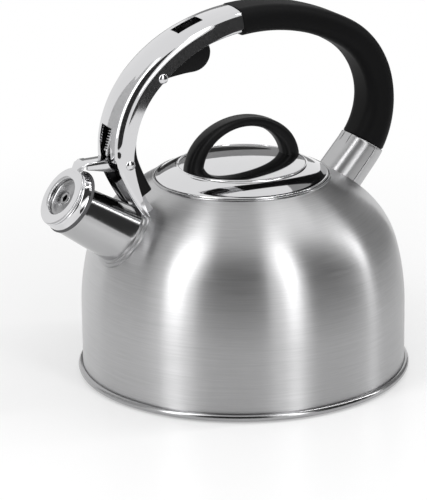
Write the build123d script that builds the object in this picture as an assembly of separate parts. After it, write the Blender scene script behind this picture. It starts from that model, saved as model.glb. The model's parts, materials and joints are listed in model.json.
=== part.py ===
"""Stovetop whistling kettle: every piece is a solid of its own, in millimetres.

Frame: +Z up, origin at the centre of the flat base, spout towards -X, handle in the plane y = 0.
"""
from build123d import *
import math
import os

# ---- pot ----
body_radius = 107.0
sheet = 0.8
side_height = 44.4
shoulder_low_radius = 157.3
shoulder_low_angle = 15.05
shoulder_mid_radius = 58.1
shoulder_mid_angle = 32.72
dome_radius = 108.8
neck_radius = 57.5
bead_width = 3.0
bead_height = 5.0
bead_bottom = 0.5
pan_height = 3.8
disc_inset = 11.0
disc_sheet = 1.0

# ---- neck and lid ----
neck_lip_width = 1.1
neck_lip_height = 1.0
mouth_radius = 50.2
collar_depth = 10.2
seat_drop = 1.0
lid_gap = 0.4
lid_seat_gap = 0.1
hem_height = 1.9
plateau_radius = 42.5
plateau_rise = 9.2
plateau_dome_radius = 200.0
plateau_bead = 0.5
skirt_radius = 49.6
skirt_depth = 9.0
knob_half_width = 42.0
knob_height = 32.9
knob_foot_thickness = 9.0
knob_top_thickness = 8.1
knob_width = 12.5
knob_rounding = 3.2
lid_screw_radius = 2.0
lid_screw_length = 9.0
lid_screw_head_radius = 3.6
lid_screw_head_height = 2.2
washer_radius = 4.4
washer_thickness = 0.8
washer_gap = 0.1

# ---- spout ----
spout_inset = 16.2
spout_elevation = 33.0
spout_length = 41.6
spout_root_radius = 19.5
spout_mouth_radius = 16.85
spout_wall = 1.0
collar_step_width = 1.6
collar_width = 3.4
collar_step_height = 2.4
collar_height = 1.2

# ---- whistle cap ----
cap_elevation = 35.5
cap_lift = 4.0
cap_gap = 0.3
gasket_radius = 21.5
gasket_thickness = 2.2
gasket_hole = 11.0
cup_radius = 20.3
cup_depth = 6.1
cup_wall = 0.8
whistle_radius = 12.5
whistle_drop = 2.4
whistle_hole = 2.3
boss_radius = 4.1
boss_height = 0.9
ring_radius = 19.9
ring_sheet = 1.4
ring_hole = 12.7

# ---- handle centreline: out of the rear ferrule, over the top and down to the spout ----
# The shares are the bends' radii over the body's radius.
foot_sink = 12.8
foot_angle = 48.5
leg_inset = 18.45
leg_sink = 2.13
rear_bend_share = 0.5187
rear_bend_angle = 100.3
crown_share = 1.2131
grip_crown_angle = 37.2
shell_crown_angle = 16.2
fore_share = 0.8738
fore_angle = 23.7
nose_share = 0.6159
nose_angle = 34.9
knee_share = 0.3346
knee_angle = 29.1
leg_share = 1.2495
leg_angle = 15.6

# ---- grip and ferrule ----
grip_end_half = 9.0
grip_top_half = 8.7
grip_rear_half = 10.0
grip_start_half = 12.7
grip_end_width = 15.5
grip_start_width = 14.8
grip_shoulder = 45.0
grip_gap = 0.1
ferrule_end = 37.2
ferrule_base_half = 14.2
ferrule_wall = 1.5
core_width = 14.0
core_sheet = 3.0
core_clearance = 0.1
core_front_reach = 14.0
core_start = 15.5
core_screw_radius = 2.0
core_screw_inset = 4.0
core_screw_pitch = 8.0
core_screw_head_height = 2.0
bracket_sheet = 3.0
bracket_foot_height = 3.0
bracket_foot_depth = 17.0

# ---- front shell ----
shell_half_width = 15.0
shell_face = 8.2
shell_wall = 1.6
shell_corner = 4.5
shell_edge_top = 3.0
shell_edge_low = 6.0
edge_taper = 60.0
leg_length = 52.1
leg_edge_end = 4.0
leg_setback = 0.9
leg_taper = 0.6
web_reach = 42.6
slot_width = 14.0
slot_length = 18.7
lever_slot_start = 22.5
lever_slot_end = 40.3
lever_slot_width = 11.0
trim_half_width = 12.5
trim_face = 6.4
trim_sheet = 1.2
cover_face = 8.3
cover_sheet = 1.4
cover_reach = 14.1
trigger_slot_start = 18.0
trigger_slot_margin = 16.0
trigger_clearance = 0.6
front_bracket_length = 22.0
front_bracket_web = 6.5
front_bracket_wall = 2.0
front_bracket_setback = 2.5

# ---- levers ----
trigger_station = 67.0
trigger_offset = 3.9
trigger_width = 12.0
trigger_boss = 4.4
blade_reach = 39.2
blade_height = 18.4
blade_rounding = 1.2
nose_tip_radius = 1.5
nose_reach = 7.9
nose_fall = 5.5
pin_radius = 2.25
pin_play = 0.05
pin_head_radius = 3.3
pin_head_height = 1.4
arm_reach = 39.1
arm_offset = 0.85
arm_half_width = 6.4
arm_sheet = 1.4
arm_plate_rise = 3.3
arm_tail = 5.2
arm_back = 5.2
arm_fold_reach = 28.0
bush_radius = 3.0
bush_play = 0.3
bar_width = 8.0
bar_sheet = 1.6
bar_offset = 2.6
bar_gap = 0.3
bar_lever = 4.2
bar_knee_share = 0.6
bar_middle = 24.0
bar_jog = 3.73
bar_jog_height = 7.61
bar_foot_height = 2.2
plunger_lever = 8.6
plunger_radius = 1.5
spring_radius = 2.9
spring_wire = 0.8
spring_turns = 7
spring_length = 13.6
seat_sheet = 1.4
seat_depth = 16.0
seat_reach = 21.08
seat_offset = 3.47
collar_lead = 3.4

# ---- sizes that follow from those above ----
disc_radius = body_radius - disc_inset
spout_root_x = body_radius - spout_inset
crown_radius = body_radius * crown_share
grip_start = ferrule_end + grip_gap
cut_reach = 40.0


def heading(angle):
    """Unit vector in the handle plane at an angle from +X towards +Z."""
    return Vector(math.cos(math.radians(angle)), 0, math.sin(math.radians(angle)))


# ---- kettle contour: the straight side and three tangent arcs ----
def arc_centres():
    """Centre, radius and end angle of each shoulder arc, from the side up."""
    centre_1 = Vector(body_radius - shoulder_low_radius, 0, side_height)
    turn_1 = shoulder_low_angle
    turn_2 = shoulder_low_angle + shoulder_mid_angle
    centre_2 = centre_1 + heading(turn_1) * (shoulder_low_radius - shoulder_mid_radius)
    centre_3 = centre_2 + heading(turn_2) * (shoulder_mid_radius - dome_radius)
    top = math.degrees(math.acos((neck_radius - centre_3.X) / dome_radius))
    return (
        (centre_1, shoulder_low_radius, 0.0, turn_1),
        (centre_2, shoulder_mid_radius, turn_1, turn_2),
        (centre_3, dome_radius, turn_2, top),
    )


def dome_height(radius, grow=0.0):
    """Height of the outer surface, moved out by grow, at a distance from the axis."""
    for centre, arc_radius, start, end in arc_centres():
        reach = centre.X + (arc_radius + grow) * math.cos(math.radians(end))
        if radius >= reach or end == arc_centres()[-1][3]:
            return centre.Z + math.sqrt((arc_radius + grow) ** 2 - (radius - centre.X) ** 2)
    return side_height


def contour(grow, bottom):
    """Edges of the outer contour moved out by grow, from the bottom up to the neck."""
    side = body_radius + grow
    edges = [Line((side, 0, bottom), (side, 0, side_height))]
    for centre, arc_radius, start, end in arc_centres():
        radius = arc_radius + grow
        middle = (start + end) / 2
        first = centre + heading(start) * radius
        last = centre + heading(end) * radius
        edges.append(ThreePointArc(first, centre + heading(middle) * radius, last))
    return edges


def closed_face(edges, *corners):
    """Face bounded by a chain of edges and straight runs through the corners back to its start."""
    chain = Wire(edges)
    points = [chain @ 1, *corners, chain @ 0]
    return make_face(edges + list(Polyline(*points).edges()))


def envelope(grow=0.0, bottom=0.0):
    """Filled solid of the kettle's outside, moved out by grow."""
    edges = contour(grow, bottom)
    top = (Wire(edges) @ 1).Z
    return revolve(closed_face(edges, (0, 0, top), (0, 0, bottom)), Axis.Z)


def ring_of(*points):
    """Solid of revolution about Z from (radius, height) corners."""
    corners = [(r, 0, z) for r, z in points]
    return revolve(make_face(Polyline(*corners, close=True)), Axis.Z)


def body_shell():
    """Drawn pot wall, with the hole for the spout."""
    outer = contour(0, bead_bottom + sheet)
    inner = contour(-sheet, bead_bottom + sheet)
    top_out = Wire(outer) @ 1
    top_in = Wire(inner) @ 1
    bottom_out = Wire(outer) @ 0
    bottom_in = Wire(inner) @ 0
    ends = [Line(top_out, top_in), Line(bottom_in, bottom_out)]
    shell = revolve(make_face(outer + inner + ends), Axis.Z)
    bore = spout_cone(-spout_wall - 1.0)
    return shell - bore


def base_pan():
    """Pan under the pot, with its edge rolled round the lower edge of the wall as a bead."""
    inner = body_radius - sheet
    lip = bead_bottom + sheet
    pan = ring_of(
        (0, pan_height), (inner - sheet, pan_height), (inner - sheet, bead_bottom),
        (body_radius + bead_width, bead_bottom), (body_radius + bead_width, bead_bottom + bead_height),
        (body_radius, bead_bottom + bead_height), (body_radius, lip), (inner, lip),
        (inner, pan_height + sheet), (0, pan_height + sheet),
    )
    rim = [e for e in pan.edges().filter_by(GeomType.CIRCLE) if e.radius > body_radius + bead_width - 0.01]
    return fillet(rim, bead_width * 0.6)


def base_core_plate():
    """Thick aluminium plate that spreads the heat under the pan."""
    height = pan_height - disc_sheet
    return Pos(0, 0, disc_sheet) * extrude(Circle(disc_radius - disc_sheet), height)


def base_induction_disc():
    """Magnetic steel cap over the core plate: the face that the kettle stands on."""
    return ring_of(
        (0, 0), (disc_radius, 0), (disc_radius, pan_height), (disc_radius - disc_sheet, pan_height),
        (disc_radius - disc_sheet, disc_sheet), (0, disc_sheet),
    )


# ---- neck and lid ----
neck_top = dome_height(neck_radius)
seat_level = neck_top - seat_drop
lid_level = seat_level + lid_seat_gap
lid_radius = neck_radius - lid_gap - 0.4
plateau_level = seat_level + plateau_rise
plateau_centre = plateau_level - math.sqrt(plateau_dome_radius ** 2 - plateau_radius ** 2)
plateau_crown = plateau_centre + plateau_dome_radius


def neck_ring():
    """Rim of the filling opening: lip, lid seat and collar in one pressed ring."""
    lip_radius = neck_radius + neck_lip_width
    rim_inner = lid_radius + lid_gap
    wall_inner = neck_radius - sheet * 1.6
    return ring_of(
        (lip_radius, dome_height(lip_radius) + 0.05), (lip_radius, neck_top + neck_lip_height * 0.5),
        (lip_radius - 0.5, neck_top + neck_lip_height), (rim_inner, neck_top + neck_lip_height),
        (rim_inner, seat_level), (mouth_radius, seat_level), (mouth_radius, seat_level - collar_depth),
        (mouth_radius + sheet, seat_level - collar_depth), (mouth_radius + sheet, seat_level - sheet),
        (wall_inner, seat_level - sheet), (neck_radius - 0.2, neck_top - 0.2), (neck_radius, neck_top + 0.05),
    )


def lid_cover_profile():
    """Lid cover's section: hem, sloping ring, bead and domed plateau."""
    hem_top = lid_level + sheet + hem_height
    bead_top = plateau_level + plateau_bead
    rise = plateau_dome_radius - sheet
    inner_edge = plateau_radius - 1.6
    inner_z = plateau_centre + math.sqrt(rise ** 2 - inner_edge ** 2)
    outer_z = plateau_centre + math.sqrt(plateau_dome_radius ** 2 - inner_edge ** 2)
    crown = ThreePointArc(
        (inner_edge, 0, outer_z),
        (inner_edge / 2, 0, plateau_centre + math.sqrt(plateau_dome_radius ** 2 - (inner_edge / 2) ** 2)),
        (0, 0, plateau_crown),
    )
    under = ThreePointArc(
        (0, 0, plateau_crown - sheet),
        (inner_edge / 2, 0, plateau_centre + math.sqrt(rise ** 2 - (inner_edge / 2) ** 2)),
        (inner_edge, 0, inner_z),
    )
    outside = Polyline(
        (inner_edge, 0, inner_z), (plateau_radius - 0.6, 0, inner_z - 0.2),
        (lid_radius - sheet, 0, hem_top - sheet), (lid_radius - sheet, 0, lid_level + 0.2),
        (lid_radius, 0, lid_level + 0.2), (lid_radius, 0, hem_top - 0.5),
        (lid_radius - 0.5, 0, hem_top), (plateau_radius + 0.7, 0, plateau_level - 0.1),
        (plateau_radius, 0, bead_top), (plateau_radius - 0.8, 0, bead_top), (inner_edge, 0, outer_z),
    )
    axis_run = Line((0, 0, plateau_crown), (0, 0, plateau_crown - sheet))
    return make_face([crown, axis_run, under] + list(outside.edges()))


def lid_screw_places():
    """Planes on the underside of the plateau, one below each foot of the knob, pointing up."""
    reach = knob_half_width - knob_foot_thickness / 2
    lean = math.degrees(math.asin(reach / plateau_dome_radius))
    places = []
    for side in (1, -1):
        up = heading(90 - side * lean)
        origin = Vector(0, 0, plateau_centre) + up * (plateau_dome_radius - sheet)
        places.append(Plane(origin=origin, x_dir=(0, 1, 0), z_dir=up))
    return places


def lid_cover():
    """Polished cover, with a hole for each knob screw."""
    cover = revolve(lid_cover_profile(), Axis.Z)
    for place in lid_screw_places():
        cover -= place * Cylinder(lid_screw_radius + 0.1, 4)
    return cover


def lid_skirt():
    """Cup under the cover that centres the lid in the neck."""
    plate_radius = lid_radius - sheet - 0.05
    low = lid_level - skirt_depth
    return ring_of(
        (skirt_radius, low), (skirt_radius, lid_level), (plate_radius, lid_level),
        (plate_radius, lid_level + sheet), (skirt_radius - sheet, lid_level + sheet),
        (skirt_radius - sheet, low),
    )


def lid_knob():
    """Arch to lift the lid by, standing on the plateau."""
    base = plateau_level - 1.0
    height = knob_height + 1.0
    inner_half = knob_half_width - knob_foot_thickness
    outer = Pos(0, base) * Ellipse(knob_half_width, height)
    inner = Pos(0, base) * Ellipse(inner_half, height - knob_top_thickness)
    section = outer - inner - Pos(0, base - height) * Rectangle(4 * knob_half_width, 2 * height)
    arch = extrude(Plane.XZ * section, knob_width / 2, both=True)
    long_edges = [e for e in arch.edges() if e.geom_type == GeomType.ELLIPSE]
    arch = fillet(long_edges, knob_rounding)
    sphere = Pos(0, 0, plateau_centre) * Sphere(plateau_dome_radius)
    rim = ring_of(
        (plateau_radius - 1.6, plateau_level - 3), (plateau_radius + 2, plateau_level - 3),
        (plateau_radius + 2, plateau_level + plateau_bead + 0.05),
        (plateau_radius - 1.6, plateau_level + plateau_bead + 0.05),
    )
    arch = arch - sphere - rim
    for place in lid_screw_places():
        arch -= place * Pos(0, 0, lid_screw_length / 2) * Cylinder(lid_screw_radius, lid_screw_length)
    return arch


def lid_screws():
    """One screw up into each foot of the knob."""
    screws = []
    for place in lid_screw_places():
        under = washer_thickness + washer_gap
        shank_length = lid_screw_length + under
        head_place = -under - lid_screw_head_height / 2
        shank_place = (lid_screw_length - under) / 2
        shank = Pos(0, 0, shank_place) * Cylinder(lid_screw_radius, shank_length)
        head = Pos(0, 0, head_place) * Cylinder(lid_screw_head_radius, lid_screw_head_height)
        slot = Pos(0, 0, head_place - lid_screw_head_height / 2) * Box(1.0, 2 * lid_screw_head_radius, 1.6)
        screws.append(place * (shank + head - slot))
    return screws


def lid_washers():
    """Washer under each knob screw's head."""
    washers = []
    for place in lid_screw_places():
        disc = Cylinder(washer_radius, washer_thickness) - Cylinder(lid_screw_radius + 0.2, washer_thickness)
        washers.append(place * Pos(0, 0, -washer_thickness / 2 - washer_gap) * disc)
    return washers


# ---- spout ----
spout_out = heading(180 - spout_elevation)
spout_root = Vector(-spout_root_x, 0, dome_height(spout_root_x))
spout_taper = (spout_root_radius - spout_mouth_radius) / spout_length
cap_out = heading(180 - cap_elevation)
spout_mouth = spout_root + spout_out * spout_length
cap_up = heading(90 - cap_elevation)
cap_centre = spout_mouth + cap_up * cap_lift + cap_out * cap_gap
cap_plane = Plane(origin=cap_centre, x_dir=(0, 1, 0), z_dir=cap_out)


def spout_cone(grow):
    """Long cone about the spout's axis, grown outwards, from inside the dome to past the mouth."""
    back = 30.0
    ahead = 12.0
    low = spout_root_radius + spout_taper * back + grow
    high = spout_mouth_radius - spout_taper * ahead + grow
    length = spout_length + back + ahead
    place = Plane(origin=spout_root - spout_out * back, x_dir=(0, 1, 0), z_dir=spout_out)
    return place * Pos(0, 0, length / 2) * Cone(low, high, length)


def mouth_cut():
    """Everything in front of the spout's mouth, which is square to the cap's axis."""
    place = Plane(origin=spout_mouth, x_dir=(0, 1, 0), z_dir=cap_out)
    size = 3 * spout_length
    return place * Pos(0, 0, size / 2) * Box(size, size, size)


def spout_tube():
    """Tapered tube welded to the dome."""
    tube = spout_cone(0) - spout_cone(-spout_wall)
    return tube - envelope() - mouth_cut()


def spout_collar():
    """Stepped flange round the spout where it meets the dome."""
    wide = spout_cone(collar_width) & envelope(collar_height)
    high = spout_cone(collar_step_width) & envelope(collar_step_height)
    collar = (wide + high) - envelope() - spout_cone(0)
    size = 4 * spout_root_radius
    keep = Pos(-spout_root_x, 0, spout_root.Z) * Box(size, size, size)
    return collar & keep


def cap_ring(outer, inner, start, end):
    """Ring about the cap's axis between two distances in front of the gasket's back."""
    ring = Cylinder(outer, end - start)
    if inner > 0:
        ring -= Cylinder(inner, end - start)
    return cap_plane * Pos(0, 0, (start + end) / 2) * ring


cup_back = gasket_thickness
cup_front = cup_back + cup_depth
whistle_face = cup_front - whistle_drop


def cap_gasket():
    """Silicone ring that closes on the spout's mouth."""
    return cap_ring(gasket_radius, gasket_hole, 0, gasket_thickness)


def cap_cup():
    """Drawn cup that holds the whistle."""
    wall = cap_ring(cup_radius, cup_radius - cup_wall, cup_back, cup_front)
    front = cap_ring(cup_radius, whistle_radius + cup_wall, cup_front - cup_wall, cup_front)
    return wall + front


def whistle_front_disc():
    """Dished disc at the cap's front, with a boss round the whistle's hole."""
    plate = cap_ring(whistle_radius + cup_wall, 0, whistle_face - cup_wall, whistle_face)
    wall = cap_ring(whistle_radius + cup_wall, whistle_radius, whistle_face - cup_wall, cup_front)
    boss = cap_ring(boss_radius, 0, whistle_face, whistle_face + boss_height)
    hole = cap_ring(whistle_hole, 0, whistle_face - 3, whistle_face + 3)
    return plate + wall + boss - hole


def whistle_rear_disc():
    """Disc that closes the back of the whistle's chamber."""
    plate = cap_ring(cup_radius - cup_wall, 0, cup_back, cup_back + cup_wall)
    hole = cap_ring(whistle_hole, 0, cup_back - 3, cup_back + 3)
    return plate - hole


# ---- handle centreline ----
handle_arcs = (
    (body_radius * rear_bend_share, rear_bend_angle),
    (crown_radius, grip_crown_angle),
    (crown_radius, shell_crown_angle),
    (body_radius * fore_share, fore_angle),
    (body_radius * nose_share, nose_angle),
    (body_radius * knee_share, knee_angle),
    (body_radius * leg_share, leg_angle),
)
leg_x = spout_root_x - leg_inset
leg_end = Vector(-leg_x, 0, dome_height(leg_x) - leg_sink)


def rear_foot(x):
    """Start of the centreline inside the dome, at a distance behind the axis."""
    return Vector(x, 0, dome_height(x) - foot_sink)


def arcs_span():
    """Vector from the first arc's start to the last arc's end."""
    span = Vector(0, 0, 0)
    angle = foot_angle
    for radius, turn in handle_arcs:
        span += (heading(angle + 90) - heading(angle + turn + 90)) * radius
        angle += turn
    return span


def handle_start():
    """Rear foot from which a straight run and the arcs end on the dome behind the spout."""
    across = heading(foot_angle + 90)
    target = leg_end - arcs_span()
    near, far = neck_radius, body_radius
    while far - near > 0.0001:
        middle = (near + far) / 2
        if (target - rear_foot(middle)).dot(across) > 0:
            far = middle
        else:
            near = middle
    return rear_foot(near)


foot_run = (leg_end - arcs_span() - handle_start()).dot(heading(foot_angle))


def handle_edges():
    """Straight run and tangent arcs of the handle's centreline, in the (x, z) plane."""
    start = Vector(handle_start().X, handle_start().Z)
    along = heading(foot_angle)
    edges = [Line(start, start + Vector(along.X, along.Z) * foot_run)]
    for radius, turn in handle_arcs:
        edges.append(JernArc(edges[-1] @ 1, edges[-1] % 1, radius, turn))
    return edges


centreline = handle_edges()
rear_route = Wire([Plane.XZ * e for e in centreline[:3]])
front_route = Wire([Plane.XZ * e for e in centreline[3:]])
rear_length = rear_route.length
front_length = front_route.length
arm_station = front_length - arm_reach
web_end = front_length - web_reach
front_slot_start = web_end - slot_length
cover_end = front_length - cover_reach
leg_start = front_length - leg_length


def station(route, distance, offset=0.0):
    """Point at a distance along a route, moved outwards across it."""
    point = route.position_at(distance, position_mode=PositionMode.LENGTH)
    along = route.tangent_at(distance, position_mode=PositionMode.LENGTH)
    return point + Vector(along.Z, 0, -along.X) * offset


def section_plane(route, distance):
    """Plane across a route: local x is the handle's width, local y points outwards."""
    along = route.tangent_at(distance, position_mode=PositionMode.LENGTH)
    return Plane(origin=station(route, distance), x_dir=(0, -1, 0), z_dir=along)


def band(route, start, end, inner, outer, half_width, steps=14):
    """Solid between two offsets of a route, from one station to another; offsets may be functions."""
    distances = [start + (end - start) * i / steps for i in range(steps + 1)]
    low = [station(route, s, inner(s) if callable(inner) else inner) for s in distances]
    high = [station(route, s, outer(s) if callable(outer) else outer) for s in distances]
    edges = [Spline(*low), Line(low[-1], high[-1]), Spline(*reversed(high)), Line(high[0], low[0])]
    return extrude(make_face(edges), half_width, dir=(0, 1, 0), both=True)


def sweep_channel(half_width, face, wall, edge, corner, opening_inward=True):
    """U-section swept along the whole front route."""
    sign = 1 if opening_inward else -1
    deep = 30.0
    outer = Pos(0, sign * (face - deep / 2)) * RectangleRounded(2 * half_width, deep, corner)
    inner_radius = max(corner - wall, 0.6)
    inside = RectangleRounded(2 * (half_width - wall), deep, inner_radius)
    inside = Pos(0, sign * (face - wall - deep / 2)) * inside
    keep = Pos(0, sign * (face - (face + edge) / 2)) * Rectangle(2 * half_width, face + edge)
    profile = (outer - inside) & keep
    return sweep(section_plane(front_route, 0) * profile, path=front_route)


def channel_room():
    """Room inside the front shell, outwards of the push bar."""
    half = shell_half_width - shell_wall
    top = shell_face - shell_wall
    low = -1.2
    radius = shell_corner - shell_wall
    inside = Pos(0, top - 15) * RectangleRounded(2 * half, 30, radius)
    keep = Pos(0, (top - low) / 2) * Rectangle(2 * half, top + low)
    return sweep(section_plane(front_route, 0) * (inside & keep), path=front_route)


# ---- grip, ferrule and core ----
def grip_half(distance):
    """Half thickness of the grip at a distance along the rear route."""
    shoulder = grip_start + grip_shoulder
    if distance <= shoulder:
        share = (distance - grip_start) / (shoulder - grip_start)
        return grip_start_half + (grip_rear_half - grip_start_half) * math.sin(share * math.pi / 2)
    share = (distance - shoulder) / (rear_length - shoulder)
    blend = (1 - math.cos(math.pi * share)) / 2
    top = grip_rear_half + (grip_top_half - grip_rear_half) * min(1.0, 1.6 * blend)
    return top + (grip_end_half - grip_top_half) * max(0.0, 2 * share - 1)


def grip_section(distance, shrink=0.0):
    """Rounded section of the grip across the route."""
    share = (distance - grip_start) / (rear_length - grip_start)
    half = grip_half(distance) - shrink
    width = grip_start_width + (grip_end_width - grip_start_width) * share - shrink
    return section_plane(rear_route, distance) * RectangleRounded(2 * width, 2 * half, 0.86 * half)


def core_strip(grow, end_reach):
    """Strip along the outside of the centreline, from the ferrule into the front shell."""
    level = shell_face - shell_wall - core_sheet / 2
    size = Pos(0, level) * Rectangle(core_width + 2 * grow, core_sheet + 2 * grow)
    front = split_route(front_route, 0, end_reach)
    rear = split_route(rear_route, core_start, rear_length)
    tail = sweep(section_plane(rear_route, core_start) * size, path=rear)
    nose = sweep(section_plane(front_route, 0) * size, path=front)
    return tail + nose


def split_route(route, start, end):
    """Part of a route between two stations."""
    return route.trim(start / route.length, end / route.length)


def handle_grip():
    """Soft-touch grip moulded round the core strip."""
    count = 11
    step = (rear_length - grip_start) / (count - 1)
    body = loft([grip_section(grip_start + step * i) for i in range(count)])
    return body - core_strip(core_clearance, core_front_reach)


def handle_core():
    """Steel strip that carries the grip from the rear bracket to the front shell."""
    strip = core_strip(0, core_front_reach)
    for hole in core_screw_planes():
        strip -= hole * Cylinder(core_screw_radius, 10 * core_sheet)
    return strip


def core_screw_planes():
    """Planes of the two core screws, pointing outwards through the bracket and the strip."""
    planes = []
    for i in range(2):
        distance = core_start + core_screw_inset + i * core_screw_pitch
        out = station(rear_route, distance, 1) - station(rear_route, distance)
        origin = station(rear_route, distance, shell_face - shell_wall - core_sheet)
        planes.append(Plane(origin=origin, x_dir=(0, 1, 0), z_dir=out))
    return planes


def core_screws():
    """Two screws that clamp the strip to the rear bracket."""
    screws = []
    head_place = core_sheet + core_screw_head_height / 2
    for plane in core_screw_planes():
        shank = Cylinder(core_screw_radius, core_sheet + bracket_sheet)
        shank = Pos(0, 0, (core_sheet - bracket_sheet) / 2) * shank
        head = Pos(0, 0, head_place) * Cylinder(2 * core_screw_radius - 0.4, core_screw_head_height)
        screws.append(plane * (shank + head))
    return screws


def ferrule_section(distance, shrink):
    """Oval section of the ferrule across the straight run."""
    share = (ferrule_end - distance) / ferrule_end
    half = grip_start_half + 0.5 + (ferrule_base_half - grip_start_half - 0.5) * share - shrink
    width = grip_start_width + 0.7 - shrink
    return section_plane(rear_route, distance) * RectangleRounded(2 * width, 2 * half, 0.8 * half)


def rear_ferrule():
    """Steel sleeve between the dome and the grip."""
    outer = loft([ferrule_section(0.5, 0), ferrule_section(ferrule_end, 0)])
    inner = loft([ferrule_section(0.5, ferrule_wall), ferrule_section(ferrule_end, ferrule_wall)])
    return outer - inner - envelope()


def rear_bracket():
    """Bracket welded to the dome inside the ferrule: foot and tongue."""
    plane = section_plane(rear_route, 0)
    level = shell_face - shell_wall - core_sheet - bracket_sheet / 2
    tongue = plane * Pos(0, level, foot_run / 2) * Box(core_width, bracket_sheet, foot_run)
    foot = plane * Rectangle(core_width + 4, bracket_foot_depth)
    foot = extrude(foot, cut_reach) & envelope(bracket_foot_height)
    bracket = (tongue + foot) - envelope()
    for hole in core_screw_planes():
        bracket -= hole * Cylinder(core_screw_radius, 10 * core_sheet)
    return bracket


# ---- front shell, trim and cover ----
def shell_edge(distance):
    """How far inside the centreline the shell's side walls end."""
    if distance < leg_start:
        return shell_edge_top + (shell_edge_low - shell_edge_top) * min(1.0, distance / edge_taper)
    return shell_edge_low - (distance - leg_start) * (shell_edge_low + leg_edge_end) / leg_length


def leg_front(distance):
    """Offset of the legs' front edge."""
    return shell_face - leg_setback - leg_taper * (distance - web_end) / web_reach


def slot_band(start, end, width, inner=2.0):
    """Cutter for a slot through the shell's outer face."""
    return band(front_route, start, end, inner, shell_face + 3, width / 2, steps=4)


def pin_cylinder(centre, radius, half_length):
    """Cylinder across the handle."""
    return Pos(centre.X, 0, centre.Z) * Rot(90, 0, 0) * Cylinder(radius, 2 * half_length)


trigger_pivot = station(front_route, trigger_station, -trigger_offset)
arm_pivot = station(front_route, arm_station, -arm_offset)
pin_reach = shell_half_width


def handle_front_shell():
    """Polished channel from the grip down to its two legs on the dome."""
    shell = sweep_channel(shell_half_width, shell_face, shell_wall, shell_edge_low + 4, shell_corner)
    below = band(front_route, 0, front_length, -cut_reach, lambda s: -shell_edge(s), cut_reach)
    web = band(front_route, web_end, front_length, -leg_edge_end, cut_reach, shell_half_width - shell_wall, 4)
    lip = band(front_route, web_end, front_length, leg_front, cut_reach, cut_reach, 4)
    shell = shell - below - web - lip - envelope() - spout_cone(collar_width + 0.2)
    shell -= slot_band(front_slot_start, web_end + 2, slot_width)
    shell -= slot_band(lever_slot_start, lever_slot_end, lever_slot_width)
    shell -= pin_cylinder(trigger_pivot, pin_radius, cut_reach)
    shell -= pin_cylinder(arm_pivot, pin_radius, cut_reach)
    return shell


def trigger_slot():
    """Cutter for the trigger's way through the inner trim."""
    end = trigger_station + trigger_slot_margin
    half = trigger_width / 2 + trigger_clearance
    return band(front_route, trigger_slot_start, end, -cut_reach, -2.0, half, 8)


def handle_inner_trim():
    """Polished strip under the channel, between the grip and the trigger's pin."""
    trim = sweep_channel(trim_half_width, trim_face, trim_sheet, 2.0, 2.4, opening_inward=False)
    end = trigger_station + 2
    tail = band(front_route, end, front_length, -cut_reach, cut_reach, cut_reach)
    trim = trim - tail - trigger_slot() - pin_cylinder(trigger_pivot, pin_radius, cut_reach)
    return max(trim.solids(), key=lambda solid: solid.volume)


def handle_inner_cover():
    """Black strip that closes the channel from the trigger down to the foot."""
    cover = sweep_channel(trim_half_width, cover_face, cover_sheet, 1.0, 3.0, opening_inward=False)
    head = band(front_route, 0, trigger_station + 2.6, -cut_reach, cut_reach, cut_reach)
    tip = band(front_route, cover_end, front_length, -cut_reach, cut_reach, cut_reach, 4)
    cover = cover - head - tip - trigger_slot() - envelope(0.3)
    cover -= pin_cylinder(arm_pivot, arm_tail + 1.2, arm_half_width + 0.8)
    cover -= pin_cylinder(arm_pivot, bush_radius + 0.6, cut_reach)
    return max(cover.solids(), key=lambda solid: solid.volume)


def front_bracket():
    """U-bracket welded to the dome between the legs."""
    half = trim_half_width - cover_sheet - 0.2
    start = front_length - front_bracket_length
    block = band(front_route, start, front_length, -2.0, leg_front(start) - front_bracket_setback, half, 4)
    web = front_length - front_bracket_web
    gap = band(front_route, start - 2, web, -6.0, cut_reach, half - front_bracket_wall, 4)
    return block - gap - envelope() - spout_cone(collar_width + 0.3)


# ---- levers ----
def headed_pin(centre):
    """Riveted pin with a domed head on each side of the handle."""
    pin = pin_cylinder(centre, pin_radius, pin_reach)
    for side in (1, -1):
        dome = Sphere(pin_head_radius) & Pos(0, 0, pin_head_radius) * Box(20, 20, 2 * pin_head_radius)
        flat = pin_head_height / pin_head_radius
        dome = scale(dome, by=(1, 1, flat))
        pin += Pos(centre.X, side * pin_reach, centre.Z) * Rot(-side * 90, 0, 0) * dome
    return pin


def blade_point(along, up):
    """Point of the blade's outline, as shares of its reach and height from the pivot."""
    return (trigger_pivot.X + along * blade_reach, 0, trigger_pivot.Z + up * blade_height)


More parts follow.
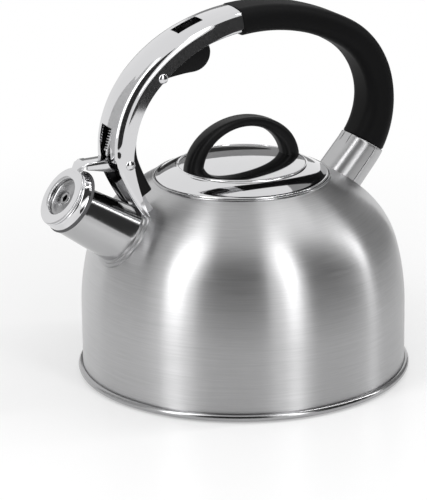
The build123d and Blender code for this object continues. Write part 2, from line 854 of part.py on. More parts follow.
def trigger():
    """Lever under the handle: finger blade, boss on its pin and a nose that presses the bar."""
    p = trigger_pivot
    low_start = (p.X + 1.0, 0, p.Z - trigger_boss)
    boss_top = (p.X, 0, p.Z + trigger_boss)
    boss_end = (p.X - trigger_boss, 0, p.Z)
    tip_low = blade_point(0.939, 0.207)
    middle = [blade_point(0.217, -0.152), blade_point(0.513, -0.082), blade_point(0.765, -0.033)]
    underside = Spline(low_start, *middle, tip_low)
    rest = Polyline(
        tip_low, blade_point(1.0, 0.478), blade_point(0.949, 1.0), blade_point(0.459, 0.848),
        boss_top, boss_end, low_start,
    )
    blade = extrude(make_face([underside, *rest.edges()]), trigger_width / 2, dir=(0, 1, 0), both=True)
    soft = [e for e in blade.edges() if abs(abs(e.center().Y) - trigger_width / 2) < 0.01]
    blade = fillet(soft, blade_rounding)
    boss = pin_cylinder(p, trigger_boss, trigger_width / 2)
    nose = trigger_nose()
    low = (nose.X + 1.4, 0, nose.Z - 0.6)
    high = (nose.X - 1.4, 0, nose.Z + 0.6)
    root = p.X - 1.0
    arm_face = make_face(Polyline((root, 0, p.Z + 3.0), (root, 0, p.Z - 4.0), low, high, close=True))
    arm = extrude(arm_face, bar_width / 2, dir=(0, 1, 0), both=True)
    tip = pin_cylinder(nose, nose_tip_radius, bar_width / 2)
    return blade + boss + arm + tip - pin_cylinder(p, pin_radius + pin_play, cut_reach)


def trigger_nose():
    """Centre of the trigger's nose."""
    return trigger_pivot + Vector(-nose_reach, 0, -nose_fall)


def push_bar():
    """Bent strip from under the trigger's nose down to the tail of the cap arm."""
    nose = trigger_nose()
    top = Vector(nose.X, 0, nose.Z - nose_tip_radius - bar_gap - bar_sheet / 2)
    bend = arm_station - bar_middle
    knee = station(front_route, trigger_station + bar_knee_share * (bend - trigger_station), -bar_offset)
    middle = station(front_route, bend, -bar_offset)
    foot = Vector(arm_pivot.X + bar_lever, 0, arm_pivot.Z + bar_sheet / 2 + bar_gap)
    low = foot + Vector(-bar_jog, 0, bar_jog_height)
    path = Polyline(top, knee, middle, low, foot + Vector(0, 0, bar_foot_height), foot)
    thick = trace(Plane.XZ.to_local_coords(path), line_width=bar_sheet)
    strip = extrude(Plane.XZ * thick, bar_width / 2, both=True)
    pad = Pos(top.X + 0.2, 0, top.Z) * Box(3.6, bar_width, bar_sheet)
    return strip + pad


def cap_arm():
    """Stamped lever: ring round the cap's front, strap, folded plate and two cheeks."""
    p = arm_pivot
    plate_top = p.Z + arm_plate_rise
    fold = Vector(p.X - arm_fold_reach, 0, plate_top)
    rear = p.X - arm_back
    plate = Box(rear - fold.X, 2 * arm_half_width, arm_sheet)
    plate = Pos((fold.X + rear) / 2, 0, plate_top - arm_sheet / 2) * plate
    cheek_face = make_face(Polyline(
        (fold.X + 5, 0, plate_top), (rear, 0, plate_top), (p.X, 0, p.Z + 4.0), (p.X + 2.8, 0, p.Z + 2.6),
        (p.X + arm_tail, 0, p.Z), (p.X + arm_tail, 0, p.Z - 2.4), (p.X, 0, p.Z - 4.6),
        (p.X - 8, 0, p.Z - 4.8), (fold.X + 5, 0, plate_top - 6), close=True,
    ))
    cheeks = extrude(cheek_face, arm_half_width, dir=(0, 1, 0), both=True)
    cheeks -= extrude(cheek_face, arm_half_width - arm_sheet, dir=(0, 1, 0), both=True)
    tail_x = p.X + arm_tail
    tail = Pos(tail_x - 0.9, 0, p.Z - arm_sheet / 2) * Box(1.8, 2 * arm_half_width, arm_sheet)
    ring = cap_ring(ring_radius, ring_hole, cup_front + 0.1, cup_front + 0.1 + ring_sheet)
    edge = [e for e in ring.edges().filter_by(GeomType.CIRCLE)]
    ring = fillet(edge, 0.5)
    rim = cap_centre + cap_out * (cup_front + 0.1 + ring_sheet / 2) + cap_up * (ring_radius - 3)
    front = cap_out * (ring_sheet / 2)
    strap_face = make_face(Polyline(
        (fold.X + 1.0, 0, plate_top), (fold.X - 0.6, 0, plate_top - 0.5),
        rim + front + cap_up * 2.6, rim + front, rim - front, rim - front + cap_up * 3.0,
        (fold.X + 0.8, 0, plate_top - 2.4), (fold.X + 2.4, 0, plate_top - arm_sheet), close=True,
    ))
    strap = extrude(strap_face, arm_half_width, dir=(0, 1, 0), both=True)
    arm = plate + cheeks + tail + ring + strap
    return arm - pin_cylinder(p, bush_radius, arm_half_width + 1)


def cap_arm_bush():
    """Spacer tube that turns on the pin and keeps the arm midway between the legs."""
    half = shell_half_width - shell_wall - bush_play
    bore = pin_cylinder(arm_pivot, pin_radius + pin_play, cut_reach)
    return pin_cylinder(arm_pivot, bush_radius, half) - bore


# ---- return spring ----
plunger_tip = arm_pivot + Vector(-plunger_lever, 0, arm_plate_rise + plunger_radius + bar_gap)
plunger_up = (station(front_route, arm_station - seat_reach, seat_offset) - plunger_tip).normalized()
spring_foot = plunger_tip + plunger_up * collar_lead
seat_foot = spring_foot + plunger_up * spring_length


def along_plunger(origin, shape):
    """Shape placed with its Z along the plunger's axis."""
    return Plane(origin=origin, x_dir=(0, 1, 0), z_dir=plunger_up) * shape


def plunger():
    """Pin with a round tip and a collar for the spring."""
    stem_length = collar_lead + spring_length + seat_sheet + 1.0
    stem = along_plunger(plunger_tip + plunger_up * (stem_length / 2), Cylinder(plunger_radius, stem_length))
    tip = Pos(plunger_tip.X, 0, plunger_tip.Z) * Sphere(plunger_radius)
    collar = along_plunger(spring_foot - plunger_up * 0.6, Cylinder(spring_radius, 1.2))
    return stem + tip + collar


def plunger_spring():
    """Coil spring between the plunger's collar and the seat."""
    mean = spring_radius - spring_wire / 2
    rise = spring_length - spring_wire - 0.1
    coil = Helix(pitch=rise / spring_turns, height=rise, radius=mean)
    wire = sweep(Plane(origin=coil @ 0, z_dir=coil % 0) * Circle(spring_wire / 2), path=coil, is_frenet=True)
    return along_plunger(spring_foot + plunger_up * (spring_wire / 2 + 0.05), wire)


def spring_seat():
    """Plate across the shell that the spring pushes against and the plunger slides through."""
    half = shell_half_width - shell_wall
    plate = Box(2 * half, seat_depth, seat_sheet)
    plate -= Cylinder(plunger_radius + 0.35, 10)
    return along_plunger(seat_foot + plunger_up * (seat_sheet / 2), plate) & channel_room()


NODES = {
    "body_shell": body_shell,
    "base_pan": base_pan,
    "base_core_plate": base_core_plate,
    "base_induction_disc": base_induction_disc,
    "neck_ring": neck_ring,
    "spout_tube": spout_tube,
    "spout_collar": spout_collar,
    "rear_bracket": rear_bracket,
    "rear_ferrule": rear_ferrule,
    "handle_core": handle_core,
    "core_screws": core_screws,
    "handle_grip": handle_grip,
    "handle_front_shell": handle_front_shell,
    "handle_inner_trim": handle_inner_trim,
    "handle_inner_cover": handle_inner_cover,
    "front_bracket": front_bracket,
    "trigger_pin": lambda: headed_pin(trigger_pivot),
    "cap_arm_pin": lambda: headed_pin(arm_pivot),
    "spring_seat": spring_seat,
    "trigger": trigger,
    "push_bar": push_bar,
    "plunger": plunger,
    "plunger_spring": plunger_spring,
    "cap_arm": cap_arm,
    "cap_arm_bush": cap_arm_bush,
    "cap_cup": cap_cup,
    "cap_gasket": cap_gasket,
    "whistle_front_disc": whistle_front_disc,
    "whistle_rear_disc": whistle_rear_disc,
    "lid_cover": lid_cover,
    "lid_skirt": lid_skirt,
    "lid_knob": lid_knob,
    "lid_screws": lid_screws,
    "lid_washers": lid_washers,
}


def main():
    """Build every node and write its STEP file."""
    os.makedirs("parts", exist_ok=True)
    for name, build in NODES.items():
        shape = build()
        pieces = shape if isinstance(shape, list) else [shape]
        solids = [solid for piece in pieces for solid in piece.solids()]
        export_step(Compound(children=solids), f"parts/{name}.step")


if __name__ == "__main__":
    main()
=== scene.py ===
"""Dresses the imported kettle: finishes, modelled shells and grips, studio floor, lamps and camera."""
import json
import logging
import math
from dataclasses import dataclass
from enum import Enum
from typing import Callable, ClassVar, Iterable, Sequence

import bmesh
import bpy
from mathutils import Matrix, Vector


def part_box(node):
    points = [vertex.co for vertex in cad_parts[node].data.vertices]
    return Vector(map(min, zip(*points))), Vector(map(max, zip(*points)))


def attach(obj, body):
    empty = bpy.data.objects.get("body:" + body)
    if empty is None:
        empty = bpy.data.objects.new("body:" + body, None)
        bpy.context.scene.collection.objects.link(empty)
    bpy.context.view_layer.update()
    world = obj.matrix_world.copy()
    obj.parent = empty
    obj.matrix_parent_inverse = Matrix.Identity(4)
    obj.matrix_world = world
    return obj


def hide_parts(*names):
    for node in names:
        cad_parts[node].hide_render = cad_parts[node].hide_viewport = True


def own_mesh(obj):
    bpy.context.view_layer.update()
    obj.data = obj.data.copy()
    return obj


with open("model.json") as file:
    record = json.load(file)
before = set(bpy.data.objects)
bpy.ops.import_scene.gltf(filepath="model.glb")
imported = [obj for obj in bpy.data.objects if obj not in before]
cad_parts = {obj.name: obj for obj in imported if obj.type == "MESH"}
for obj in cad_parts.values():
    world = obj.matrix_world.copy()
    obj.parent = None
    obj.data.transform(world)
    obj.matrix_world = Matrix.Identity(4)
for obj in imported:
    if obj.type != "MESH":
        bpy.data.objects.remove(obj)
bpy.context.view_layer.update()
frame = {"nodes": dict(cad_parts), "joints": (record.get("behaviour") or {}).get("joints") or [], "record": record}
LOG = logging.getLogger("kettle")
MM = 0.001
MERGE_DISTANCE = 0.0005
SHARP_BEND = math.radians(35)
AIM_HEIGHT = 0.11
Ring = list[Vector]
Pair = tuple[float, float]
Colour = tuple[float, float, float]
BMesh = bmesh.types.BMesh
Tree = bpy.types.NodeTree
Socket = bpy.types.NodeSocket
Inputs = dict[str | int, object]
Shading = tuple[bpy.types.Material, Tree, bpy.types.Node]


class Side(Enum):
    """The two sides of the handle."""

    NEAR = -1
    FAR = 1


# ---------------------------------------------------------------- CAD boxes
def node_box(node: str) -> list[list[float]]:
    """Low and high corners of a CAD node's box, in millimetres."""
    return [[value / MM for value in corner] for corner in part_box(node)]


def node_middle(node: str) -> Vector:
    """Middle of a CAD node's box, in millimetres."""
    low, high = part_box(node)
    return (low + high) / 2 / MM


# ---------------------------------------------------------------- points
def polar(angle: float, radius: float = 1.0) -> Vector:
    """Vector in the handle plane at an angle in degrees from +X towards +Z."""
    turn = math.radians(angle)
    return Vector((math.cos(turn), 0.0, math.sin(turn))) * radius


def arc_points(centre: Vector, radius: float, start: float, end: float, count: int) -> Ring:
    """Points along an arc in the handle plane.

    Args:
        centre: middle of the arc, in millimetres.
        radius: radius in millimetres.
        start: first angle in degrees.
        end: last angle in degrees.
        count: number of points.

    Returns:
        The points from start to end.
    """
    return [centre + polar(start + (end - start) * i / (count - 1), radius) for i in range(count)]


def flat(pairs: Iterable[Pair]) -> Ring:
    """Points of the handle plane from (x, z) pairs."""
    return [Vector((x, 0, z)) for x, z in pairs]


def rounding(x: float, z: float, across: float, up: float, angles: Iterable[float]) -> list[Pair]:
    """Points of a rounded corner.

    Args:
        x: first coordinate of its middle.
        z: second coordinate of its middle.
        across: radius along the first direction.
        up: radius along the second direction.
        angles: angles of the points in degrees.

    Returns:
        The points as pairs.
    """
    turns = [math.radians(angle) for angle in angles]
    return [(x + across * math.cos(turn), z + up * math.sin(turn)) for turn in turns]


def rounded_outline(half_x: float, half_y: float, radius: float, corner_steps: int) -> list[Pair]:
    """Rounded rectangle about the origin, counter-clockwise.

    Args:
        half_x: half size along x.
        half_y: half size along y.
        radius: corner radius.
        corner_steps: segments of each corner.

    Returns:
        Its points.
    """
    points = []
    for quarter, (sx, sy) in enumerate(((1, 1), (-1, 1), (-1, -1), (1, -1))):
        angles = [90 * (quarter + i / corner_steps) for i in range(corner_steps + 1)]
        points += rounding(sx * (half_x - radius), sy * (half_y - radius), radius, radius, angles)
    return points


def axis_place(origin: Vector, up: Vector) -> Matrix:
    """Transform that takes Z to a direction and the origin to a point."""
    return Matrix.Translation(origin) @ up.to_track_quat("Z", "Y").to_matrix().to_4x4()


# ---------------------------------------------------------------- meshes and objects
def lathe(
    bm: BMesh, profile: Sequence[Vector], steps: int, place: Matrix | None = None, closed: bool = True,
) -> None:
    """Spins a profile of the (x, z) half plane about Z, then moves it to a place.

    Args:
        bm: the mesh that gets the faces.
        profile: points in millimetres.
        steps: number of faces round the axis.
        place: transform from the lathe's axis to the part's own frame.
        closed: whether the last point is joined to the first.
    """
    before = set(bm.verts)
    verts = [bm.verts.new(p) for p in profile]
    following = verts[1:] + (verts[:1] if closed else [])
    edges = [bm.edges.new(pair) for pair in zip(verts, following)]
    bmesh.ops.spin(
        bm, geom=verts + edges, cent=(0, 0, 0), axis=(0, 0, 1), angle=2 * math.pi,
        steps=steps, use_merge=True,
    )
    made = [v for v in bm.verts if v not in before]
    bmesh.ops.remove_doubles(bm, verts=made, dist=MERGE_DISTANCE)
    if place is not None:
        made = [v for v in bm.verts if v not in before]
        bmesh.ops.transform(bm, matrix=place, verts=made)


def loft(bm: BMesh, rings: Sequence[Ring], capped: bool = True) -> None:
    """Bridges closed rings of points one after another, and closes the two ends.

    Args:
        bm: the mesh that gets the faces.
        rings: closed rings with the same number of points, in millimetres.
        capped: whether the first and last rings are filled.
    """
    loops = []
    for ring in rings:
        verts = [bm.verts.new(p) for p in ring]
        loops.append([bm.edges.new(pair) for pair in zip(verts, verts[1:] + verts[:1])])
    for first, second in zip(loops, loops[1:]):
        bmesh.ops.bridge_loops(bm, edges=first + second)
    if capped:
        for loop in (loops[0], loops[-1]):
            bmesh.ops.contextual_create(bm, geom=loop)


def prism(
    bm: BMesh, outline: Sequence[Vector], middle: float, half_width: float, bevel: float, segments: int,
) -> None:
    """Extrudes an outline of the handle plane across the handle, rounds its edges and joins it to a mesh.

    Args:
        bm: the mesh that gets the faces.
        outline: points in millimetres.
        middle: place of its middle along Y.
        half_width: half size along Y.
        bevel: rounding of all sharp edges.
        segments: faces across the rounding.
    """
    part = bmesh.new()
    face = part.faces.new([part.verts.new(p + Vector((0, -half_width, 0))) for p in outline])
    grown = bmesh.ops.extrude_face_region(part, geom=[face])
    moved = [g for g in grown["geom"] if isinstance(g, bmesh.types.BMVert)]
    bmesh.ops.translate(part, vec=(0, 2 * half_width, 0), verts=moved)
    bmesh.ops.recalc_face_normals(part, faces=part.faces)
    sharp = [e for e in part.edges if e.is_manifold and e.calc_face_angle(0.0) > SHARP_BEND]
    bmesh.ops.bevel(
        part, geom=sharp, offset=bevel, offset_type="OFFSET", affect="EDGES", segments=segments,
        profile=0.5, material=-1, clamp_overlap=True,
    )
    bmesh.ops.triangulate(part, faces=[f for f in part.faces if len(f.verts) > 4])
    bmesh.ops.translate(part, vec=(0, middle, 0), verts=part.verts)
    mesh = bpy.data.meshes.new("joined")
    part.to_mesh(mesh)
    part.free()
    bm.from_mesh(mesh)
    bpy.data.meshes.remove(mesh)


def link_object(name: str, data: bpy.types.ID) -> bpy.types.Object:
    """New object in the scene for a mesh, lamp or camera.

    Args:
        name: the object's name.
        data: what it shows.

    Returns:
        The new object.
    """
    made = bpy.data.objects.new(name, data)
    bpy.context.scene.collection.objects.link(made)
    return made


def mesh_object(name: str, bm: BMesh, material: bpy.types.Material) -> bpy.types.Object:
    """New object in the scene from a bmesh, which is freed.

    Args:
        name: the object's name.
        bm: its mesh, in metres.
        material: its material.

    Returns:
        The new object.
    """
    mesh = bpy.data.meshes.new(name)
    bm.to_mesh(mesh)
    bm.free()
    mesh.materials.append(material)
    return link_object(name, mesh)


# ---------------------------------------------------------------- shader nodes
def feed(tree: Tree, node: bpy.types.Node, inputs: Inputs) -> None:
    """Feeds inputs of a node.

    Args:
        tree: the node's tree.
        node: the node.
        inputs: for each input, the socket that feeds it or its constant value.
    """
    for label, value in inputs.items():
        if isinstance(value, Socket):
            tree.links.new(value, node.inputs[label])
        else:
            node.inputs[label].default_value = value


def add_node(tree: Tree, kind: str, inputs: Inputs | None = None, **settings: object) -> bpy.types.Node:
    """Adds a node to a tree.

    Args:
        tree: the tree.
        kind: the node's type.
        inputs: sockets or constants for its inputs.
        settings: values of its properties.

    Returns:
        The new node.
    """
    node = tree.nodes.new(kind)
    for key, value in settings.items():
        setattr(node, key, value)
    feed(tree, node, inputs or {})
    return node


def join_math(tree: Tree, operation: str, *values: object) -> Socket:
    """Output of a math node on one or two sockets or numbers."""
    return add_node(tree, "ShaderNodeMath", dict(enumerate(values)), operation=operation).outputs[0]


def map_range(tree: Tree, value: Socket, low: float, high: float) -> Socket:
    """A 0 to 1 value brought to the range from low to high."""
    ends = {"Value": value, "To Min": low, "To Max": high}
    return add_node(tree, "ShaderNodeMapRange", ends).outputs["Result"]


def new_material(name: str, inputs: Inputs) -> Shading:
    """New node material.

    Args:
        name: its name.
        inputs: constants for its Principled shader.

    Returns:
        The material, its tree and its shader.
    """
    material = bpy.data.materials.new(name)
    material.use_nodes = True
    tree = material.node_tree
    shader = tree.nodes["Principled BSDF"]
    feed(tree, shader, inputs)
    return material, tree, shader


def new_group(name: str, inputs: dict[str, float], outputs: Sequence[str]) -> Tree:
    """Empty shader node group.

    Args:
        name: the group's name.
        inputs: names and default values of its inputs.
        outputs: names of its outputs, which are masks.

    Returns:
        The group, with an input node named "In" and an output node named "Out".
    """
    group = bpy.data.node_groups.new(name, "ShaderNodeTree")
    for label, value in inputs.items():
        socket = group.interface.new_socket(name=label, in_out="INPUT", socket_type="NodeSocketFloat")
        socket.default_value = value
    for label in outputs:
        group.interface.new_socket(name=label, in_out="OUTPUT", socket_type="NodeSocketFloat")
    add_node(group, "NodeGroupInput", name="In")
    add_node(group, "NodeGroupOutput", name="Out")
    return group


def brushing_group() -> Tree:
    """Node group of fine lines that run round the Z axis.

    Returns:
        The group, with a mask of streaks and a soft cloud.
    """
    name = "turned_brushing"
    if name in bpy.data.node_groups:
        return bpy.data.node_groups[name]
    tree = new_group(name, {"Lines": 1500.0, "Length": 3.0}, ("Streaks", "Cloud"))
    source = tree.nodes["In"].outputs
    coords = add_node(tree, "ShaderNodeTexCoord").outputs["Object"]
    x, y, z = add_node(tree, "ShaderNodeSeparateXYZ", {0: coords}).outputs
    square = join_math(tree, "ADD", join_math(tree, "MULTIPLY", x, x), join_math(tree, "MULTIPLY", y, y))
    radius = join_math(tree, "MAXIMUM", join_math(tree, "SQRT", square), 0.001)
    across = join_math(tree, "MULTIPLY", join_math(tree, "SUBTRACT", z, radius), source["Lines"])
    east, north = (
        join_math(tree, "MULTIPLY", join_math(tree, "DIVIDE", side, radius), source["Length"]) for side in (x, y)
    )
    vector = add_node(tree, "ShaderNodeCombineXYZ", {0: east, 1: north, 2: across}).outputs[0]
    fine = add_node(tree, "ShaderNodeTexNoise", {"Vector": vector, "Scale": 1.0, "Detail": 5.0, "Roughness": 0.7})
    cloud = add_node(tree, "ShaderNodeTexNoise", {"Vector": coords, "Scale": 9.0, "Detail": 2.0})
    feed(tree, tree.nodes["Out"], {"Streaks": fine.outputs["Fac"], "Cloud": cloud.outputs["Fac"]})
    return tree


def smudge_group() -> Tree:
    """Node group of soft cloudy wear and fine speckle.

    Returns:
        The group, with one mask of each.
    """
    name = "handling_marks"
    if name in bpy.data.node_groups:
        return bpy.data.node_groups[name]
    tree = new_group(name, {"Cloud Scale": 22.0, "Grain Scale": 900.0}, ("Cloud", "Grain"))
    source = tree.nodes["In"].outputs
    coords = add_node(tree, "ShaderNodeTexCoord").outputs["Object"]
    for label, detail in (("Cloud", 3.0), ("Grain", 2.0)):
        inputs = {"Vector": coords, "Scale": source[label + " Scale"], "Detail": detail}
        noise = add_node(tree, "ShaderNodeTexNoise", inputs)
        feed(tree, tree.nodes["Out"], {label: noise.outputs["Fac"]})
    return tree


# ---------------------------------------------------------------- finishes
@dataclass(frozen=True)
class Finish:
    """A finish: its name, the record's slot and its colour."""

    name: str
    slot: str
    colour: Colour

    def start(self, **values: float) -> Shading:
        """New material of the finish's colour.

        Args:
            values: constants for its shader; underscores stand for spaces.

        Returns:
            The material, its tree and its shader.
        """
        inputs = {label.replace("_", " "): value for label, value in values.items()}
        return new_material(self.name, {"Base Color": (*self.colour, 1.0), **inputs})

    def tinted(self, tree: Tree, mask: Socket, spread: float) -> Socket:
        """The finish's colour, made darker and lighter by a mask.

        Args:
            tree: the material's tree.
            mask: socket of the mask.
            spread: share by which the colour changes.

        Returns:
            Socket of the colour.
        """
        low, high = ([min(1.0, c * (1 + way * spread)) for c in self.colour] for way in (-1, 1))
        inputs = {"A": (*low, 1.0), "B": (*high, 1.0), "Factor": mask}
        return add_node(tree, "ShaderNodeMix", inputs, data_type="RGBA").outputs["Result"]

    def bump(self, tree: Tree, height: Socket, depth: float) -> Socket:
        """Normal that a height mask of a depth in metres gives."""
        inputs = {"Strength": 1.0, "Distance": depth, "Height": height}
        return add_node(tree, "ShaderNodeBump", inputs).outputs["Normal"]


@dataclass(frozen=True)
class TurnedSteel(Finish):
    """Steel brushed round the pot's axis, with highlights stretched across the lines."""

    roughness: float = 0.34
    stretch: float = 0.94
    lines: float = 850.0
    depth: float = 0.000004
    spread: float = 0.10
    tint: float = 0.22

    def build(self) -> bpy.types.Material:
        """Makes the material.

        Returns:
            The material.
        """
        material, tree, shader = self.start(Metallic=1.0, Anisotropic=self.stretch, Anisotropic_Rotation=0.25)
        marks = add_node(tree, "ShaderNodeGroup", node_tree=brushing_group())
        feed(tree, marks, {"Lines": self.lines})
        streaks = marks.outputs["Streaks"]
        rough = map_range(tree, streaks, self.roughness - self.spread, self.roughness + self.spread)
        feed(tree, shader, {
            "Tangent": add_node(tree, "ShaderNodeTangent", direction_type="RADIAL", axis="Z").outputs[0],
            "Base Color": self.tinted(tree, streaks, self.tint),
            "Roughness": join_math(tree, "MULTIPLY", rough, map_range(tree, marks.outputs["Cloud"], 0.92, 1.08)),
            "Normal": self.bump(tree, streaks, self.depth),
        })
        return material


@dataclass(frozen=True)
class MarkedFinish(Finish):
    """Finish with handling marks: a cloudy mask and a grain."""

    cloud: ClassVar[float] = 35.0

    def marked(self, grain: float, **values: float) -> tuple[Shading, Socket, Socket]:
        """New material with the handling marks placed in it.

        Args:
            grain: scale of the grain.
            values: constants for its shader; underscores stand for spaces.

        Returns:
            The material with its tree and shader, the mask of the cloud and the mask of the grain.
        """
        shading = self.start(**values)
        marks = add_node(shading[1], "ShaderNodeGroup", node_tree=smudge_group())
        feed(shading[1], marks, {"Cloud Scale": self.cloud, "Grain Scale": grain})
        return shading, marks.outputs["Cloud"], marks.outputs["Grain"]


@dataclass(frozen=True)
class PolishedSteel(MarkedFinish):
    """Mirror polished steel with faint handling marks."""

    roughness: float = 0.05
    spread: float = 0.03
    grain: float = 1200.0
    tint: float = 0.04
    cloud: ClassVar[float] = 30.0

    def build(self) -> bpy.types.Material:
        """Makes the material.

        Returns:
            The material.
        """
        (material, tree, shader), cloud, _ = self.marked(self.grain, Metallic=1.0)
        feed(tree, shader, {
            "Base Color": self.tinted(tree, cloud, self.tint),
            "Roughness": map_range(tree, cloud, self.roughness - self.spread, self.roughness + self.spread),
        })
        return material


@dataclass(frozen=True)
class SatinSteel(MarkedFinish):
    """Satin steel with a fine even grain."""

    roughness: float = 0.28
    grain: float = 2200.0
    depth: float = 0.000004
    spread: float = 0.05
    tint: float = 0.08
    cloud: ClassVar[float] = 40.0

    def build(self) -> bpy.types.Material:
        """Makes the material.

        Returns:
            The material.
        """
        (material, tree, shader), _, grain = self.marked(self.grain, Metallic=1.0)
        feed(tree, shader, {
            "Base Color": self.tinted(tree, grain, self.tint),
            "Roughness": map_range(tree, grain, self.roughness - self.spread, self.roughness + self.spread),
            "Normal": self.bump(tree, grain, self.depth),
        })
        return material


@dataclass(frozen=True)
class Moulded(MarkedFinish):
    """Moulded plastic or rubber: fine grain and soft wear."""

    roughness: float = 0.42
    grain: float = 1800.0
    depth: float = 0.00001
    specular: float = 0.5
    tint: float = 0.25
    grain_share: float = 0.6

    def build(self) -> bpy.types.Material:
        """Makes the material.

        Returns:
            The material.
        """
        (material, tree, shader), cloud, grain = self.marked(self.grain, Specular_IOR_Level=self.specular)
        shares = ((grain, self.grain_share), (cloud, 1 - self.grain_share))
        both = join_math(tree, "ADD", *(join_math(tree, "MULTIPLY", mask, share) for mask, share in shares))
        feed(tree, shader, {
            "Base Color": self.tinted(tree, both, self.tint),
            "Roughness": map_range(tree, both, self.roughness - 0.06, self.roughness + 0.08),
            "Normal": self.bump(tree, grain, self.depth),
        })
        return material


BLACK: Colour = (0.005, 0.005, 0.0053)


class Palette:
    """All finishes of the kettle, each made once."""

    finishes = {
        "brushed_body": TurnedSteel("brushed_pot_steel", "brushed_body", (0.48, 0.48, 0.485)),
        "base_steel": TurnedSteel("turned_base_steel", "base_steel", (0.55, 0.55, 0.56), stretch=0.5, lines=900.0),
        "polished_steel": PolishedSteel("polished_steel", "polished_steel", (0.66, 0.66, 0.67)),
        # bead_steel: polished steel with a darker colour, which is painted shade for the contact shadow that the base
        # bead reflects; the neck rim uses it too.
        "bead_steel": PolishedSteel("bead_steel_painted_shade", "polished_steel", (0.36, 0.36, 0.365), 0.16, 0.04),
        "satin_steel": SatinSteel("satin_steel", "satin_steel", (0.46, 0.46, 0.465), 0.33),
        "spout_steel": PolishedSteel("drawn_spout_steel", "polished_steel", (0.44, 0.44, 0.445), 0.13),
        # disc_steel: satin steel with a darker colour, which is painted shade that dims the bright walls of the ring
        # that the disc reflects.
        "disc_steel": PolishedSteel("disc_steel_painted_shade", "satin_steel", (0.34, 0.34, 0.345), 0.24, 0.04),
        # inner_face: near-black steel on the inner faces of the handle's shell, which is painted shade for the dark
        # inside seen through the slots.
        "inner_face": SatinSteel("inner_face_painted_shade", "polished_steel", (0.05, 0.05, 0.052), 0.5),
        "hidden_steel": SatinSteel("plain_steel", "hidden_steel", (0.45, 0.45, 0.46), 0.36),
        "base_aluminium": SatinSteel("pressed_aluminium", "base_aluminium", (0.70, 0.70, 0.71), 0.42),
        "soft_black": Moulded("soft_touch_black", "soft_black", BLACK, 0.50, 2200.0, specular=0.06),
        "moulded_black": Moulded("moulded_black", "moulded_black", BLACK, 0.38, 1600.0, specular=0.12),
        "knob_black": Moulded("knob_black", "knob_black", BLACK, 0.32, 1600.0, 0.000008, 0.13),
        "gasket_rubber": Moulded("gasket_silicone", "gasket_rubber", (0.06, 0.06, 0.063), 0.55, 1200.0),
    }

    def __init__(self) -> None:
        """Builds every finish."""
        self.made = {key: finish.build() for key, finish in self.finishes.items()}

    def dress(
        self, bm: BMesh, name: str, body: str, finish: str, replaced: str, sharp_angle: float = 50.0,
    ) -> bpy.types.Object:
        """Turns a bmesh in millimetres into a smooth piece that rides on a body.

        Args:
            bm: the mesh, in millimetres; it is freed here.
            name: the piece's name.
            body: the body that it rides on.
            finish: key of its finish.
            replaced: the CAD node that it stands for.
            sharp_angle: edges sharper than this many degrees stay sharp.

        Returns:
            The new object.
        """
        bmesh.ops.remove_doubles(bm, verts=bm.verts, dist=MERGE_DISTANCE)
        bmesh.ops.scale(bm, vec=(MM, MM, MM), verts=bm.verts)
        bmesh.ops.recalc_face_normals(bm, faces=bm.faces)
        limit = math.radians(sharp_angle)
        for face in bm.faces:
            face.smooth = True
        for edge in bm.edges:
            edge.smooth = not edge.is_manifold or edge.calc_face_angle(0.0) < limit
        piece = mesh_object(name, bm, self.made[finish])
        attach(piece, body)
        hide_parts(replaced)
        LOG.info("%s: %d faces on %s", name, len(piece.data.polygons), body)
        return piece

    def turned(
        self, name: str, body: str, finish: str, replaced: str, profile: Sequence[Vector], steps: int,
        sharp_angle: float = 40.0, place: Matrix | None = None, closed: bool = True,
    ) -> None:
        """Piece turned on a lathe from one profile.

        Args:
            name: the piece's name.
            body: the body that it rides on.
            finish: key of its finish.
            replaced: the CAD node that it stands for.
            profile: points of the (x, z) half plane, in millimetres.
            steps: number of faces round the axis.
            sharp_angle: edges sharper than this many degrees stay sharp.
            place: transform from the lathe's axis to the part's own frame.
            closed: whether the last point is joined to the first.
        """
        bm = bmesh.new()
        lathe(bm, profile, steps, place, closed)
        self.dress(bm, name, body, finish, replaced, sharp_angle)

    def dress_nodes(self) -> None:
        """Gives each CAD node the finish of its slot."""
        slots = {s["node"]: s["material_slot"] for s in frame["record"]["subparts"]}
        for name, node in frame["nodes"].items():
            for holder in node.material_slots:
                holder.material = self.made[slots[name]]


